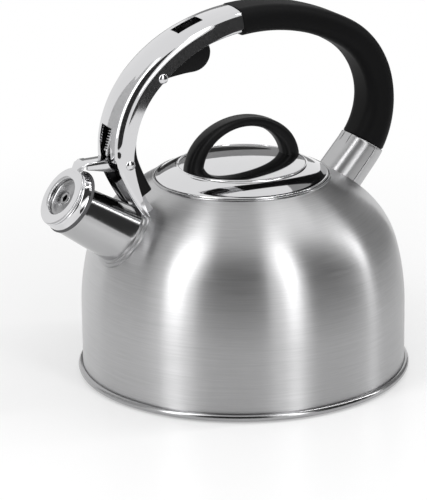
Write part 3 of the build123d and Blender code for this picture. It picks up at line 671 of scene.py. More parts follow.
# ---------------------------------------------------------------- pot
@dataclass
class Pot:
    """Body shell, base bead and neck ring, turned about Z. Sizes in millimetres."""

    palette: Palette
    wall: float = 0.8
    side_levels: tuple[float, ...] = (1.4, 5.6, 12.0, 20.0, 28.0, 36.0)
    side_height: float = 44.4
    arcs: tuple[Pair, ...] = ((157.3, 15.05), (58.1, 47.77), (108.8, 64.945))
    arc_count: int = 26
    bead_width: float = 3.0
    bead_count: int = 20
    pan_level: float = 4.6
    hub: float = 0.01
    lip_radius: float = 0.75
    seat_drop: float = 2.0
    mouth_inset: float = 8.4
    wall_steps: int = 224
    neck_steps: int = 192

    def outline(self, inset: float = 0.0) -> Ring:
        """Contour of the wall from the bead up to the neck.

        Args:
            inset: how far it lies inside the outer face.

        Returns:
            Its points.
        """
        radius = node_box("body_shell")[1][0]
        points = flat((radius - inset, level) for level in self.side_levels)
        centre = Vector((radius - self.arcs[0][0], 0, self.side_height))
        start = 0.0
        for index, (arc_radius, end) in enumerate(self.arcs):
            points += arc_points(centre, arc_radius - inset, start, end, self.arc_count)
            if index + 1 < len(self.arcs):
                centre = centre + polar(end, arc_radius - self.arcs[index + 1][0])
            start = end
        return points

    def build_shell(self) -> None:
        """Brushed wall with its inner face."""
        profile = self.outline() + self.outline(self.wall)[::-1]
        self.palette.turned("pot_wall", "kettle", "brushed_body", "body_shell", profile, self.wall_steps)

    def build_bead(self) -> None:
        """Rolled bead round the base, with the pan under the pot."""
        (_, _, low), (edge, _, top) = node_box("base_pan")
        inner, floor, sheet = edge - self.bead_width, self.pan_level, self.wall
        radius = (top - low) / 2
        bead = arc_points(Vector((edge - radius, 0, low + radius)), radius, -90, 90, self.bead_count)[::-1]
        pan = [(self.hub, floor), (inner - 1.6, floor), (inner - 0.9, floor - 0.6), (inner - 0.9, 1.3),
               (inner - 0.05, 1.3), (inner, top - 0.5)]
        under = [(inner - 1.6, low), (inner - 1.6, floor - 2 * sheet), (inner - 1.6 - sheet, floor - sheet),
                 (self.hub, floor - sheet)]
        profile = flat(pan) + bead + flat(under)
        # The bead's darker steel colour is painted shade for the contact shadow that it reflects.
        self.palette.turned("base_bead", "kettle", "bead_steel", "base_pan", profile, self.wall_steps)

    def build_neck(self) -> None:
        """Rim of the opening: rounded lip, lid seat and collar."""
        (_, _, low), (lip, _, top) = node_box("neck_ring")
        sheet, radius = self.wall, self.lip_radius
        seat, mouth = top - self.seat_drop, lip - self.mouth_inset
        crown = arc_points(Vector((lip - radius, 0, top - radius)), radius, 0, 180, 9)
        inside = [
            (lip - 2 * radius, seat), (mouth + 0.6, seat), (mouth, seat - 0.6), (mouth, low), (mouth + sheet, low),
            (mouth + sheet, seat - sheet), (lip - 2.4, seat - sheet), (lip - 1.0, top - 1.4),
        ]
        profile = flat([(lip, top - 2 * radius)]) + crown + flat(inside)
        # The rim reuses the bead's darker steel, whose low colour is painted shade.
        self.palette.turned("neck_rim", "kettle", "bead_steel", "neck_ring", profile, self.neck_steps)

    def build(self) -> None:
        """Builds the pot's pieces."""
        self.build_shell()
        self.build_bead()
        self.build_neck()


# ---------------------------------------------------------------- lid
@dataclass
class Lid:
    """Cover, knob and knob screws of the lid. Sizes in millimetres."""

    palette: Palette
    plateau: float = 42.5
    dome: float = 200.0
    wall: float = 0.8
    hem_height: float = 2.4
    hem_step: float = 2.2
    bead: float = 0.62
    slope_crown: float = 0.45
    slope_steps: int = 16
    cover_steps: int = 192
    knob_half: float = 42.0
    knob_steps: int = 56
    knob_foot: float = 12.0
    knob_arch: float = 6.1
    knob_drop: float = 1.2
    knob_width: float = 12.5
    knob_round: float = 0.78
    knob_gap: float = 0.03
    screw_steps: int = 48
    screw_reach: float = 37.5
    screw: tuple[Pair, ...] = (
        (0.0, -3.1), (3.2, -3.1), (3.6, -2.7), (3.6, -0.9), (1.9, -0.9), (1.9, 4.2), (1.5, 4.6), (0.0, 4.6),
    )

    @property
    def crown(self) -> float:
        """Level of the cover's middle."""
        return node_box("lid_cover")[1][2]

    def level(self, reach: float) -> float:
        """Level of the domed plateau at a distance from the lid's axis."""
        return self.crown - self.dome + math.sqrt(self.dome ** 2 - reach ** 2)

    def slope(self, foot: Vector, head: Vector) -> Ring:
        """Crowned slope between the hem and the bead.

        Args:
            foot: its lower end.
            head: its upper end.

        Returns:
            Its points after the lower end.
        """
        across = Vector((foot.z - head.z, 0, head.x - foot.x)).normalized() * -self.slope_crown
        shares = [i / self.slope_steps for i in range(1, self.slope_steps + 1)]
        return [foot.lerp(head, share) + across * (1 - (2 * share - 1) ** 2) for share in shares]

    def build_cover(self) -> None:
        """Polished cover: hem, sloping ring, bead and domed plateau."""
        (_, _, low), (edge, _, _) = node_box("lid_cover")
        wall, edge_level = self.wall, self.level(self.plateau)
        hem = low + self.hem_height
        tilt = math.degrees(math.asin((self.plateau - 1.3) / self.dome))
        dome = arc_points(Vector((0, 0, self.crown - self.dome)), self.dome, 90 - tilt, 89.99, 30)
        bead = arc_points(Vector((self.plateau - 0.45, 0, edge_level - 0.05)), self.bead, 0, 165, 9)
        rim = arc_points(Vector((edge - wall, 0, hem - wall)), wall, 15, 75, 5)
        shoulder = flat([(edge - wall, hem), (edge - self.hem_step, hem + 0.75)])
        slope = self.slope(shoulder[-1], Vector((self.plateau + 0.6, 0, edge_level - 0.5)))
        inner = [p + Vector((0, 0, -wall)) for p in reversed(dome)]
        under = [(self.plateau - 1.0, edge_level - 1.0), (edge - self.hem_step, hem - 0.2), (edge - wall, hem - 1.0),
                 (edge - wall, low)]
        profile = flat([(edge, low), (edge, hem - wall)]) + rim + shoulder + slope + bead + dome + inner + flat(under)
        self.palette.turned(
            "lid_cover_polished", "lid", "polished_steel", "lid_cover", profile, self.cover_steps, sharp_angle=30,
        )

    def knob_ring(self, turn: float) -> Ring:
        """Section of the knob's arch.

        Args:
            turn: angle round the arch in radians.

        Returns:
            Points of the section.
        """
        base = self.level(self.plateau) - 1.0
        height = node_box("lid_knob")[1][2] - self.knob_drop - base
        cos, sin = math.cos(turn), math.sin(turn)
        outer = Vector((self.knob_half * cos, 0, base + height * sin))
        inner = Vector(((self.knob_half - self.knob_foot) * cos, 0, base + (height - self.knob_arch) * sin))
        middle, out = (outer + inner) / 2, (outer - inner) / 2
        half, half_width = out.length, self.knob_width / 2
        out.normalize()
        outline = rounded_outline(half, half_width, min(half, half_width) * self.knob_round, 6)
        return [middle + out * a + Vector((0, b, 0)) for a, b in outline]

    def build_knob(self) -> None:
        """Black arch with its feet cut to the plateau."""
        rings = [self.knob_ring(math.pi * i / self.knob_steps) for i in range(self.knob_steps + 1)]
        rings = [rings[0], *rings[2:-2], rings[-1]]
        for point in rings[0] + rings[-1]:
            point.z = max(point.z, self.level(Vector((point.x, point.y)).length) + self.knob_gap)
        bm = bmesh.new()
        loft(bm, rings)
        self.palette.dress(bm, "lid_knob_arch", "lid", "knob_black", "lid_knob")

    def build_screws(self) -> None:
        """Screw up into each foot of the knob, short enough to stay inside the foot."""
        bm = bmesh.new()
        for side in (1, -1):
            up = polar(90 - side * math.degrees(math.asin(self.screw_reach / self.dome)))
            origin = Vector((0, 0, self.crown - self.dome)) + up * (self.dome - self.wall)
            lathe(bm, flat(self.screw), self.screw_steps, axis_place(origin, up), closed=False)
        self.palette.dress(bm, "lid_screw_pair", "lid", "hidden_steel", "lid_screws", sharp_angle=40)

    def build(self) -> None:
        """Builds the lid's pieces."""
        self.build_cover()
        self.build_knob()
        self.build_screws()


# ---------------------------------------------------------------- spout and whistle cap
@dataclass
class SpoutAxis:
    """Where the spout and the cap lie, in millimetres."""

    elevation: float = 33.0
    cap_elevation: float = 35.5
    lift: float = 4.0
    gap: float = 0.3
    gasket: float = 2.2

    @property
    def out(self) -> Vector:
        """Direction of the spout."""
        return polar(180 - self.elevation)

    @property
    def cap_out(self) -> Vector:
        """Direction that the cap faces."""
        return polar(180 - self.cap_elevation)

    @property
    def cap_up(self) -> Vector:
        """Direction across the cap, upwards."""
        return polar(90 - self.cap_elevation)

    @property
    def cap_back(self) -> Vector:
        """Centre of the gasket's back."""
        return node_middle("cap_gasket") - self.cap_out * (self.gasket / 2)

    @property
    def mouth(self) -> Vector:
        """Centre of the spout's mouth."""
        return self.cap_back - self.cap_up * self.lift - self.cap_out * self.gap


@dataclass
class Spout:
    """Polished tapered tube. Sizes in millimetres."""

    palette: Palette
    axis: SpoutAxis
    mouth_radius: float = 16.85
    taper: float = 0.0637
    length: float = 50.0
    wall: float = 1.0
    sides: int = 96
    tilt_run: float = 12.0
    ring_step: float = 3.5
    ring_count: int = 14
    lip: tuple[Pair, ...] = (
        (2.4, 0.0), (1.2, 0.12), (0.5, 0.1), (0.12, -0.15), (0.0, -0.5), (0.12, -0.85), (0.6, -1.1),
    )

    def ring(self, back: float, grow: float) -> Ring:
        """Circle round the spout, tilted to the cap's plane near the mouth.

        Args:
            back: distance behind the mouth.
            grow: what is added to the outer radius.

        Returns:
            Its points.
        """
        axis = self.axis
        tilt = axis.elevation + (axis.cap_elevation - axis.elevation) * max(0.0, 1 - back / self.tilt_run)
        centre, up = axis.mouth - axis.out * back, polar(90 - tilt)
        radius = self.mouth_radius + self.taper * back + grow
        turns = [2 * math.pi * i / self.sides for i in range(self.sides)]
        return [centre + up * (radius * math.cos(t)) + Vector((0, radius * math.sin(t), 0)) for t in turns]

    def build(self) -> None:
        """Builds the tube with a softly rolled mouth."""
        outside = [(self.length - self.ring_step * i, 0.0) for i in range(self.ring_count)]
        inside = [(3.0, -self.wall), (self.length, -self.wall)]
        bm = bmesh.new()
        loft(bm, [self.ring(*station) for station in (*outside, *self.lip, *inside)], capped=False)
        self.palette.dress(bm, "spout_polished", "kettle", "spout_steel", "spout_tube", sharp_angle=60)


@dataclass
class WhistleCap:
    """Gasket, cup, whistle disc and the stamped arm with its ring. Sizes in millimetres."""

    palette: Palette
    axis: SpoutAxis
    gasket_radius: float = 21.5
    gasket_hole: float = 11.0
    cup_radius: float = 20.3
    cup_front: float = 8.3
    cup_wall: float = 0.8
    cup_shoulder: float = 1.6
    cup_hole: float = 13.3
    ring_radius: float = 19.9
    ring_hole: float = 12.7
    ring_crown: float = 16.3
    ring_sheet: float = 1.4
    ring_gap: float = 0.1
    whistle_radius: float = 12.5
    whistle_face: float = 5.9
    boss: float = 4.1
    boss_height: float = 0.9
    hole: float = 2.3
    half_width: float = 6.4
    plate_rise: float = 3.3
    fold_reach: float = 28.0
    lever_corner: float = 1.9
    lever_depth: Pair = (4.6, 8.2)
    lever_rows: int = 9
    strap_round: float = 0.36
    cheek: tuple[Pair, ...] = ((-1.6, 3.4), (2.0, 3.0), (5.0, 0.2), (5.0, -2.2), (1.5, -4.4), (-4.0, -4.6))
    cheek_gap: float = 0.02
    tail: tuple[Pair, ...] = ((3.4, 0.0), (5.0, 0.0), (5.0, -1.3), (3.4, -1.3))
    tail_inset: float = 0.8
    steps: int = 128

    @property
    def place(self) -> Matrix:
        """Transform from the lathe to the cap's axis."""
        return axis_place(self.axis.cap_back, self.axis.cap_out)

    def disc(self, name: str, finish: str, replaced: str, profile: Iterable[Pair], sharp_angle: float = 40.0) -> None:
        """Piece turned on the cap's axis.

        Args:
            name: the piece's name.
            finish: key of its finish.
            replaced: the CAD node that it stands for.
            profile: its corners as (radius, distance) pairs.
            sharp_angle: edges sharper than this many degrees stay sharp.
        """
        self.palette.turned(name, "cap", finish, replaced, flat(profile), self.steps, sharp_angle, self.place)

    def build_gasket(self) -> None:
        """Silicone ring with a round edge."""
        half = self.axis.gasket / 2
        edge = rounding(self.gasket_radius - 0.9, half, 0.9, half, range(-90, 91, 15))
        profile = [(self.gasket_hole, 0.0), *edge, (self.gasket_hole, 2 * half)]
        self.disc("gasket_ring", "gasket_rubber", "cap_gasket", profile)

    def build_cup(self) -> None:
        """Drawn cup with a rounded shoulder and a rolled back edge."""
        r, front, wall, bend = self.cup_radius, self.cup_front, self.cup_wall, self.cup_shoulder
        back = [(r, 2.25), (r + 0.35, 2.5), (r + 0.35, 3.1), (r, 3.5)]
        shoulder = rounding(r - bend, front - bend, bend, bend, range(0, 91, 15))
        inner = [(self.cup_hole, front), (self.cup_hole, front - wall), (r - 2.0, front - wall),
                 (r - wall, front - 2.0), (r - wall, 2.25)]
        self.disc("whistle_cup", "polished_steel", "cap_cup", back + shoulder + inner, 50)

    def build_whistle(self) -> None:
        """Dished front disc: wall, flat, ring of the boss and its hole."""
        face, r, front, high = self.whistle_face, self.whistle_radius, self.cup_front, self.boss_height
        wall = [(r + 0.8, face - 0.8), (r + 0.8, front), (r + 0.15, front), (r, front - 0.2)]
        dish = [(r - 0.1, face + 0.9), (r - 0.9, face + 0.15), (r - 2.0, face)]
        boss = [(self.boss + 0.5, face), (self.boss, face + 0.3), (self.boss - 0.3, face + high - 0.05),
                (self.boss - 0.9, face + high), (self.hole + 0.4, face + high), (self.hole, face + 0.5),
                (self.hole, face - 0.8)]
        # The disc's darker steel colour is painted shade.
        self.disc("whistle_front", "disc_steel", "whistle_front_disc", wall + dish + boss)

    def ring_profile(self) -> list[Pair]:
        """Section of the arm's ring.

        Returns:
            Corners of a flat annulus with rounded rims, as (radius, distance) pairs.
        """
        low = self.cup_front + self.ring_gap
        high = low + self.ring_sheet
        outer = rounding(self.ring_radius - 0.7, low + 0.7, 0.7, 0.7, range(-90, 91, 18))
        inner = rounding(self.ring_hole + 0.6, high - 0.6, -0.6, 0.6, (90, 60, 30, 0))
        flat_face = [(self.ring_radius - 2.4, high), (self.ring_crown, high)]
        return [*outer, *flat_face, *inner, (self.ring_hole, low), (self.ring_hole + 0.1, low)]

    def strap(self, fold: Vector) -> list[Ring]:
        """Sections of the strap from the ring up to the fold.

        Args:
            fold: front end of the lever's top.

        Returns:
            The sections.
        """
        sheet, up = self.ring_sheet, self.axis.cap_up
        middle = self.cup_front + self.ring_gap + sheet / 2
        start = self.axis.cap_back + self.axis.cap_out * middle + up * (self.ring_radius - 2.6)
        knee = fold + Vector((1.0, 0, -sheet / 2))
        bend = [
            start, start + up * 2.4, start + (knee - start) * 0.72 + Vector((-0.7, 0, 0.6)),
            *(knee + step for step in flat([(-0.9, -0.9), (0.6, 0), (4.0, 0)])),
        ]
        outline = rounded_outline(sheet / 2, self.half_width, sheet * self.strap_round, 3)
        sections = []
        for i, point in enumerate(bend):
            ahead = bend[min(i + 1, len(bend) - 1)] - bend[max(i - 1, 0)]
            normal = Vector((-ahead.z, 0, ahead.x)).normalized()
            sections.append([point + normal * a + Vector((0, b, 0)) for a, b in outline])
        return sections

    def lever_outline(self, depth: float) -> list[Pair]:
        """Closed U section of the lever, open below.

        Args:
            depth: height of its cheeks.

        Returns:
            Its corners as (y, z) pairs from the lever's top.
        """
        half, sheet, corner = self.half_width, self.ring_sheet, self.lever_corner
        bend = corner - sheet + 0.3
        hx = half - sheet
        outer = rounding(half - corner, -corner, corner, corner, range(0, 91, 15))
        inner = rounding(hx - bend, -sheet - bend, bend, bend, range(90, -1, -30))
        right = [(half - 0.25, -depth), (half, -depth + 0.25), *outer]
        left, inside_left = ([(-y, z) for y, z in reversed(line)] for line in (right, inner))
        return [*right, *left, (-hx, -depth), *inside_left, *inner, (hx, -depth)]

    def build_arm(self) -> None:
        """Ring, strap, folded lever, cheeks and tail in one stamped piece."""
        bm = bmesh.new()
        lathe(bm, flat(self.ring_profile()), self.steps, self.place)
        pin, sheet = node_middle("cap_arm_pin"), self.ring_sheet
        top = pin.z + self.plate_rise
        fold = Vector((pin.x - self.fold_reach, 0, top))
        loft(bm, self.strap(fold))
        front, rear, last = fold.x + 1.6, pin.x - 5.2, self.lever_rows - 1
        shallow, deep = self.lever_depth
        stations = range(self.lever_rows)
        rows = [(front + (rear - front) * i / last, shallow + (deep - shallow) * min(1.0, i / 6)) for i in stations]
        loft(bm, [[Vector((x, y, top + z)) for y, z in self.lever_outline(depth)] for x, depth in rows])
        start = rear - 0.2 - pin.x
        cheek = [(start, self.plate_rise - 0.4), *self.cheek, (start, self.plate_rise - deep)]
        for side in Side:
            y = side.value * (self.half_width - sheet / 2 - self.cheek_gap)
            prism(bm, [pin + p for p in flat(cheek)], y, sheet / 2 - self.cheek_gap, 0.25, 2)
        prism(bm, [pin + p for p in flat(self.tail)], 0.0, self.half_width - self.tail_inset, 0.2, 1)
        self.palette.dress(bm, "cap_arm_stamped", "cap", "polished_steel", "cap_arm")

    def build(self) -> None:
        """Builds the cap's pieces."""
        self.build_gasket()
        self.build_cup()
        self.build_whistle()
        self.build_arm()


# ---------------------------------------------------------------- handle
@dataclass
class HandleLine:
    """Centreline of the handle: a straight run and tangent arcs, in millimetres."""

    start: Pair = (68.56, 112.406)
    angle: float = 48.5
    run: float = 28.96
    arcs: tuple[Pair, ...] = (
        (55.5, 100.3), (129.8, 37.2), (129.8, 16.2), (93.5, 23.7), (65.9, 34.9), (35.8, 29.1), (133.7, 15.6),
    )
    joint: float = 210.39

    def at(self, distance: float) -> tuple[Vector, float]:
        """Place on the line.

        Args:
            distance: distance from the rear foot.

        Returns:
            The point and the heading in degrees.
        """
        point = Vector((self.start[0], 0, self.start[1]))
        if distance <= self.run:
            return point + polar(self.angle, distance), self.angle
        point += polar(self.angle, self.run)
        left, heading = distance - self.run, self.angle
        for index, (radius, turn) in enumerate(self.arcs):
            length = radius * math.radians(turn)
            centre = point + polar(heading + 90, radius)
            if left <= length or index == len(self.arcs) - 1:
                heading += math.degrees(left / radius)
                break
            heading += turn
            left -= length
            point = centre + polar(heading - 90, radius)
        return centre + polar(heading - 90, radius), heading

    def place(self, distance: float, offset: float, y: float = 0.0) -> Vector:
        """Point beside the line: offset outwards and y across."""
        point, heading = self.at(distance)
        return point + polar(heading - 90, offset) + Vector((0, y, 0))

    def front(self, distance: float, offset: float, y: float = 0.0) -> Vector:
        """Point beside the front part, measured from the joint with the grip."""
        return self.place(self.joint + distance, offset, y)


@dataclass
class Grip:
    """Soft-touch grip and the steel ferrule behind it. Sizes in millimetres."""

    palette: Palette
    line: HandleLine
    start: float = 37.3
    shoulder: float = 45.0
    start_half: float = 12.7
    rear_half: float = 10.0
    top_half: float = 8.7
    end_half: float = 9.0
    start_width: float = 14.8
    end_width: float = 15.5
    inside: float = 0.03
    grip_round: float = 0.86
    corner_steps: int = 10
    rounded_ends: tuple[Pair, ...] = ((0.0, 1.2), (0.15, 0.7), (0.5, 0.25), (1.1, 0.0))
    row_count: int = 72
    ferrule_start: float = 7.0
    ferrule_end: float = 37.2
    ferrule_base: float = 14.2
    ferrule_wall: float = 1.5
    ferrule_step: float = 0.25
    ferrule_round: float = 0.8
    seams: tuple[Pair, ...] = ((-13.0, -4.0), (-13.0, 4.0), (1.8, -15.0), (1.8, 15.0))
    seam_half: float = 0.5
    seam_depth: float = 1.0
    seam_reach: float = 4.0

    def half(self, distance: float) -> float:
        """Half thickness of the grip.

        Args:
            distance: distance along the line.

        Returns:
            Half its thickness there.
        """
        shoulder = self.start + self.shoulder
        if distance <= shoulder:
            share = (distance - self.start) / self.shoulder
            return self.start_half + (self.rear_half - self.start_half) * math.sin(share * math.pi / 2)
        share = (distance - shoulder) / (self.line.joint - shoulder)
        blend = (1 - math.cos(math.pi * share)) / 2
        top = self.rear_half + (self.top_half - self.rear_half) * min(1.0, 1.6 * blend)
        return top + (self.end_half - self.top_half) * max(0.0, 2 * share - 1)

    def section(self, distance: float, shrink: float) -> Ring:
        """Rounded cross-section of the grip.

        Args:
            distance: distance along the line.
            shrink: how much smaller it is on every side.

        Returns:
            Its points.
        """
        share = (distance - self.start) / (self.line.joint - self.start)
        shrink += self.inside
        half = self.half(distance) - shrink
        width = self.start_width + (self.end_width - self.start_width) * share - shrink
        outline = rounded_outline(half, width, self.grip_round * half, self.corner_steps)
        return [self.line.place(distance, a, b) for a, b in outline]

    def build_grip(self) -> None:
        """Grip with softly rounded ends."""
        end = self.line.joint - 0.1
        step = (end - self.start - 4.0) / self.row_count
        stations = [(self.start + along, shrink) for along, shrink in self.rounded_ends]
        stations += [(self.start + 2.0 + step * i, 0.0) for i in range(self.row_count + 1)]
        stations += [(end - along, shrink) for along, shrink in reversed(self.rounded_ends)]
        bm = bmesh.new()
        loft(bm, [self.section(*station) for station in stations])
        self.palette.dress(bm, "grip_soft_touch", "kettle", "soft_black", "handle_grip")

    def seam(self, first: Pair, second: Pair) -> list[Pair]:
        """Pressed lines that fall between two points of the ferrule's outline.

        Args:
            first: one point of the outline.
            second: the next point.

        Returns:
            Points of the lines, in order.
        """
        near, far = Vector(first), Vector(second)
        along = (far - near).normalized()
        found = []
        for place in map(Vector, self.seams):
            share = (place - near).dot(along)
            middle = near + along * share
            within = self.seam_half < share < (far - near).length - self.seam_half
            if within and (middle - place).length < self.seam_reach:
                side, inward = along * self.seam_half, -middle.normalized() * self.seam_depth
                found.append((share, [middle - side, middle + inward, middle + side]))
        return [tuple(p) for _, points in sorted(found, key=lambda f: f[0]) for p in points]

    def ferrule_ring(self, distance: float, shrink: float) -> Ring:
        """Cross-section of the ferrule.

        Args:
            distance: distance along the line.
            shrink: how much smaller it is on every side.

        Returns:
            Its points.
        """
        share = (self.ferrule_end - distance) / self.ferrule_end
        front_half = self.start_half + self.ferrule_step
        half = front_half + (self.ferrule_base - front_half) * share - shrink
        width = self.start_width + self.ferrule_step - shrink
        corners = rounded_outline(half, width, self.ferrule_round * half, self.corner_steps)
        outline = []
        for corner, following in zip(corners, corners[1:] + corners[:1]):
            outline += [corner, *self.seam(corner, following)]
        return [self.line.place(distance, a, b) for a, b in outline]

    def build_ferrule(self) -> None:
        """Steel sleeve with a rolled edge towards the grip."""
        end, wall, start = self.ferrule_end, self.ferrule_wall, self.ferrule_start
        stations = [(start + 4.0 * i, 0.0) for i in range(8)]
        stations += [(end - 0.8, 0.0), (end - 0.25, 0.15), (end, 0.5), (end, wall), (start, wall)]
        bm = bmesh.new()
        loft(bm, [self.ferrule_ring(*station) for station in stations], capped=False)
        self.palette.dress(bm, "ferrule_satin", "kettle", "satin_steel", "rear_ferrule")

    def build(self) -> None:
        """Builds the grip and the ferrule."""
        self.build_grip()
        self.build_ferrule()


@dataclass
class FrontShell:
    """Bright front part of the handle with its slots, and the lining behind it. Sizes in millimetres."""

    palette: Palette
    line: HandleLine
    length: float = 170.1
    half: float = 15.0
    face: float = 8.2
    wall: float = 1.6
    corner: float = 6.2
    leg_corner: float = 2.8
    crown: float = 0.86
    crown_places: tuple[float, ...] = (-7.0, -5.5, -3.0, 0.0, 3.0, 5.5, 7.0)
    shell_round: float = 0.35
    edge_start: float = 3.0
    edge_depth: float = 6.0
    edge_turn: float = 118.0
    web_end: float = 127.5
    draw_in: float = 1.5
    row_count: int = 110
    lever_slot: tuple[float, float, float] = (22.5, 40.3, 5.5)
    front_slot: tuple[float, float, float] = (108.8, 129.5, 7.0)
    trigger_slot: tuple[float, float, float] = (18.0, 83.0, 6.6)
    lining_half: float = 12.5
    lining_corner: float = 2.0
    lining_rows: int = 60
    lining_round: float = 0.25

    def edge(self, station: float) -> float:
        """Offset of the open edge towards the inside of the bend.

        Args:
            station: distance from the joint with the grip.

        Returns:
            The offset, which falls again along the legs.
        """
        if station < self.edge_turn:
            return self.edge_start + (self.edge_depth - self.edge_start) * min(1.0, station / 60)
        return self.edge_depth - 10.0 * (station - self.edge_turn) / (self.length - self.edge_turn)

    def lean(self, station: float) -> float:
        """Offset of the front face, which draws in over the legs."""
        return self.face - self.draw_in * min(1.0, max(0.0, (station - self.web_end) / (self.length - self.web_end)))

    def section(self, station: float) -> list[Pair]:
        """Outer line of the channel, from one open edge round the face to the other.

        Args:
            station: distance from the joint with the grip.

        Returns:
            Its points as (offset, y) pairs.
        """
        face, low, half = self.lean(station), -self.edge(station), self.half
        into_leg = min(1.0, max(0.0, (station - self.web_end + 6) / 12))
        corner = self.corner - (self.corner - self.leg_corner) * into_leg
        crown = self.crown if station <= self.web_end - 8 else 0.0
        side = [(low + (face - corner - low) * i / 4, -half) for i in range(4)]
        side += rounding(face - corner, -half + corner, corner, corner, range(-90, 1, 9))
        middle = [(face + crown * (1 - (y / (half - corner)) ** 2), y) for y in self.crown_places]
        return side + middle + [(offset, -y) for offset, y in reversed(side)]

    def is_open(self, station: float, y: float, offset: float) -> bool:
        """Whether a face of the shell lies in a slot or between the legs.

        Args:
            station: place of its middle along the shell.
            y: place of its middle across the shell.
            offset: its offset from the line.

        Returns:
            True where the shell is open.
        """
        for start, end, half in (self.lever_slot, self.front_slot):
            if start < station < end and abs(y) < half - 0.01 and offset > self.lean(station) - 0.4:
                return True
        return station > self.web_end and abs(y) < self.half - 1.7

    def sheet(
        self, rows: Sequence[float], section: Callable[[float], list[Pair]],
        is_open: Callable[[float, float, float], bool],
    ) -> BMesh:
        """Flat grid bent round the handle, with its openings left out.

        Args:
            rows: stations of its rows.
            section: gives the section at a station as (offset, y) pairs.
            is_open: tells from station, y and offset whether a face is left out.

        Returns:
            The sheet as a new bmesh.
        """
        bm = bmesh.new()
        across, along = len(section(rows[0])) - 1, len(rows) - 1
        bmesh.ops.create_grid(bm, x_segments=across, y_segments=along, size=0.5)
        gaps = []
        for face in bm.faces:
            spot = face.calc_center_median() + Vector((0.5, 0.5, 0))
            i, j = math.floor(spot.y * along), math.floor(spot.x * across)
            station = (rows[i] + rows[i + 1]) / 2
            (offset, y), (next_offset, next_y) = section(station)[j:j + 2]
            if is_open(station, (y + next_y) / 2, (offset + next_offset) / 2):
                gaps.append(face)
        bmesh.ops.delete(bm, geom=gaps, context="FACES")
        for vert in bm.verts:
            station = rows[round((vert.co.y + 0.5) * along)]
            vert.co = self.line.front(station, *section(station)[round((vert.co.x + 0.5) * across)])
        return bm

    @staticmethod
    def thicken(piece: bpy.types.Object, wall: float, rounding_width: float) -> None:
        """Gives a sheet its thickness inwards and rounds its edges; its last material goes on the inner face.

        Args:
            piece: the sheet.
            wall: its thickness.
            rounding_width: width of the rounding.
        """
        solid = piece.modifiers.new("thickness", "SOLIDIFY")
        solid.material_offset = len(piece.data.materials) - 1
        solid.thickness = wall * MM
        solid.offset = -1.0
        solid.use_even_offset = False
        edge = piece.modifiers.new("rounded_edges", "BEVEL")
        edge.width = rounding_width * MM
        edge.segments = 2
        edge.limit_method = "ANGLE"
        edge.angle_limit = math.radians(55)
        edge.harden_normals = True

    def build_shell(self) -> None:
        """Polished shell with its two slots and two legs."""
        fixed = [0.0, *self.lever_slot[:2], *self.front_slot[:2], self.web_end, self.length]
        even = [self.length * i / self.row_count for i in range(1, self.row_count)]
        rows = sorted(fixed + [s for s in even if min(abs(s - f) for f in fixed) > 0.7])
        bm = self.sheet(rows, self.section, self.is_open)
        shell = self.palette.dress(bm, "front_shell_polished", "kettle", "polished_steel", "handle_front_shell")
        # The near-black inner face is painted shade for the inside of the shell.
        shell.data.materials.append(self.palette.made["inner_face"])
        self.thicken(shell, self.wall, self.shell_round)

    def lining(
        self, name: str, finish: str, replaced: str, start: float, end: float, face: float, sheet: float,
        depth: float,
    ) -> None:
        """Channel inside the shell that closes it towards the hand, with the opening for the trigger.

        Args:
            name: the piece's name.
            finish: key of its finish.
            replaced: the CAD node that it stands for.
            start: first station.
            end: last station.
            face: offset of its inner face from the line, towards the inside of the bend.
            sheet: thickness.
            depth: height of its side walls.
        """
        slot_start, slot_end, slot_half = self.trigger_slot
        half, corner = self.lining_half, self.lining_corner
        side = [(-face + depth, -half), (-face + corner + 1.0, -half)]
        side += rounding(-face + corner, -half + corner, corner, corner, range(-90, -181, -15))
        side.append((-face, -slot_half))
        shape = side + [(-face, 0.0)] + [(offset, -y) for offset, y in reversed(side)]
        even = [start + (end - start) * i / self.lining_rows for i in range(1, self.lining_rows)]
        rows = sorted({start, end, *even, *(s for s in (slot_start, slot_end) if start < s < end)})
        bm = self.sheet(rows, lambda station: shape, lambda station, y, offset: (
            slot_start < station < slot_end and abs(y) < slot_half and offset < -face + 0.1))
        self.thicken(self.palette.dress(bm, name, "kettle", finish, replaced), sheet, self.lining_round)

    def build(self) -> None:
        """Builds the shell and its two linings."""
        self.build_shell()
        self.lining("inner_trim_polished", "polished_steel", "handle_inner_trim", 0.4, 69.0, 6.4, 1.2, 4.0)
        self.lining("inner_cover_moulded", "moulded_black", "handle_inner_cover", 69.6, 156.0, 8.3, 1.4, 9.0)


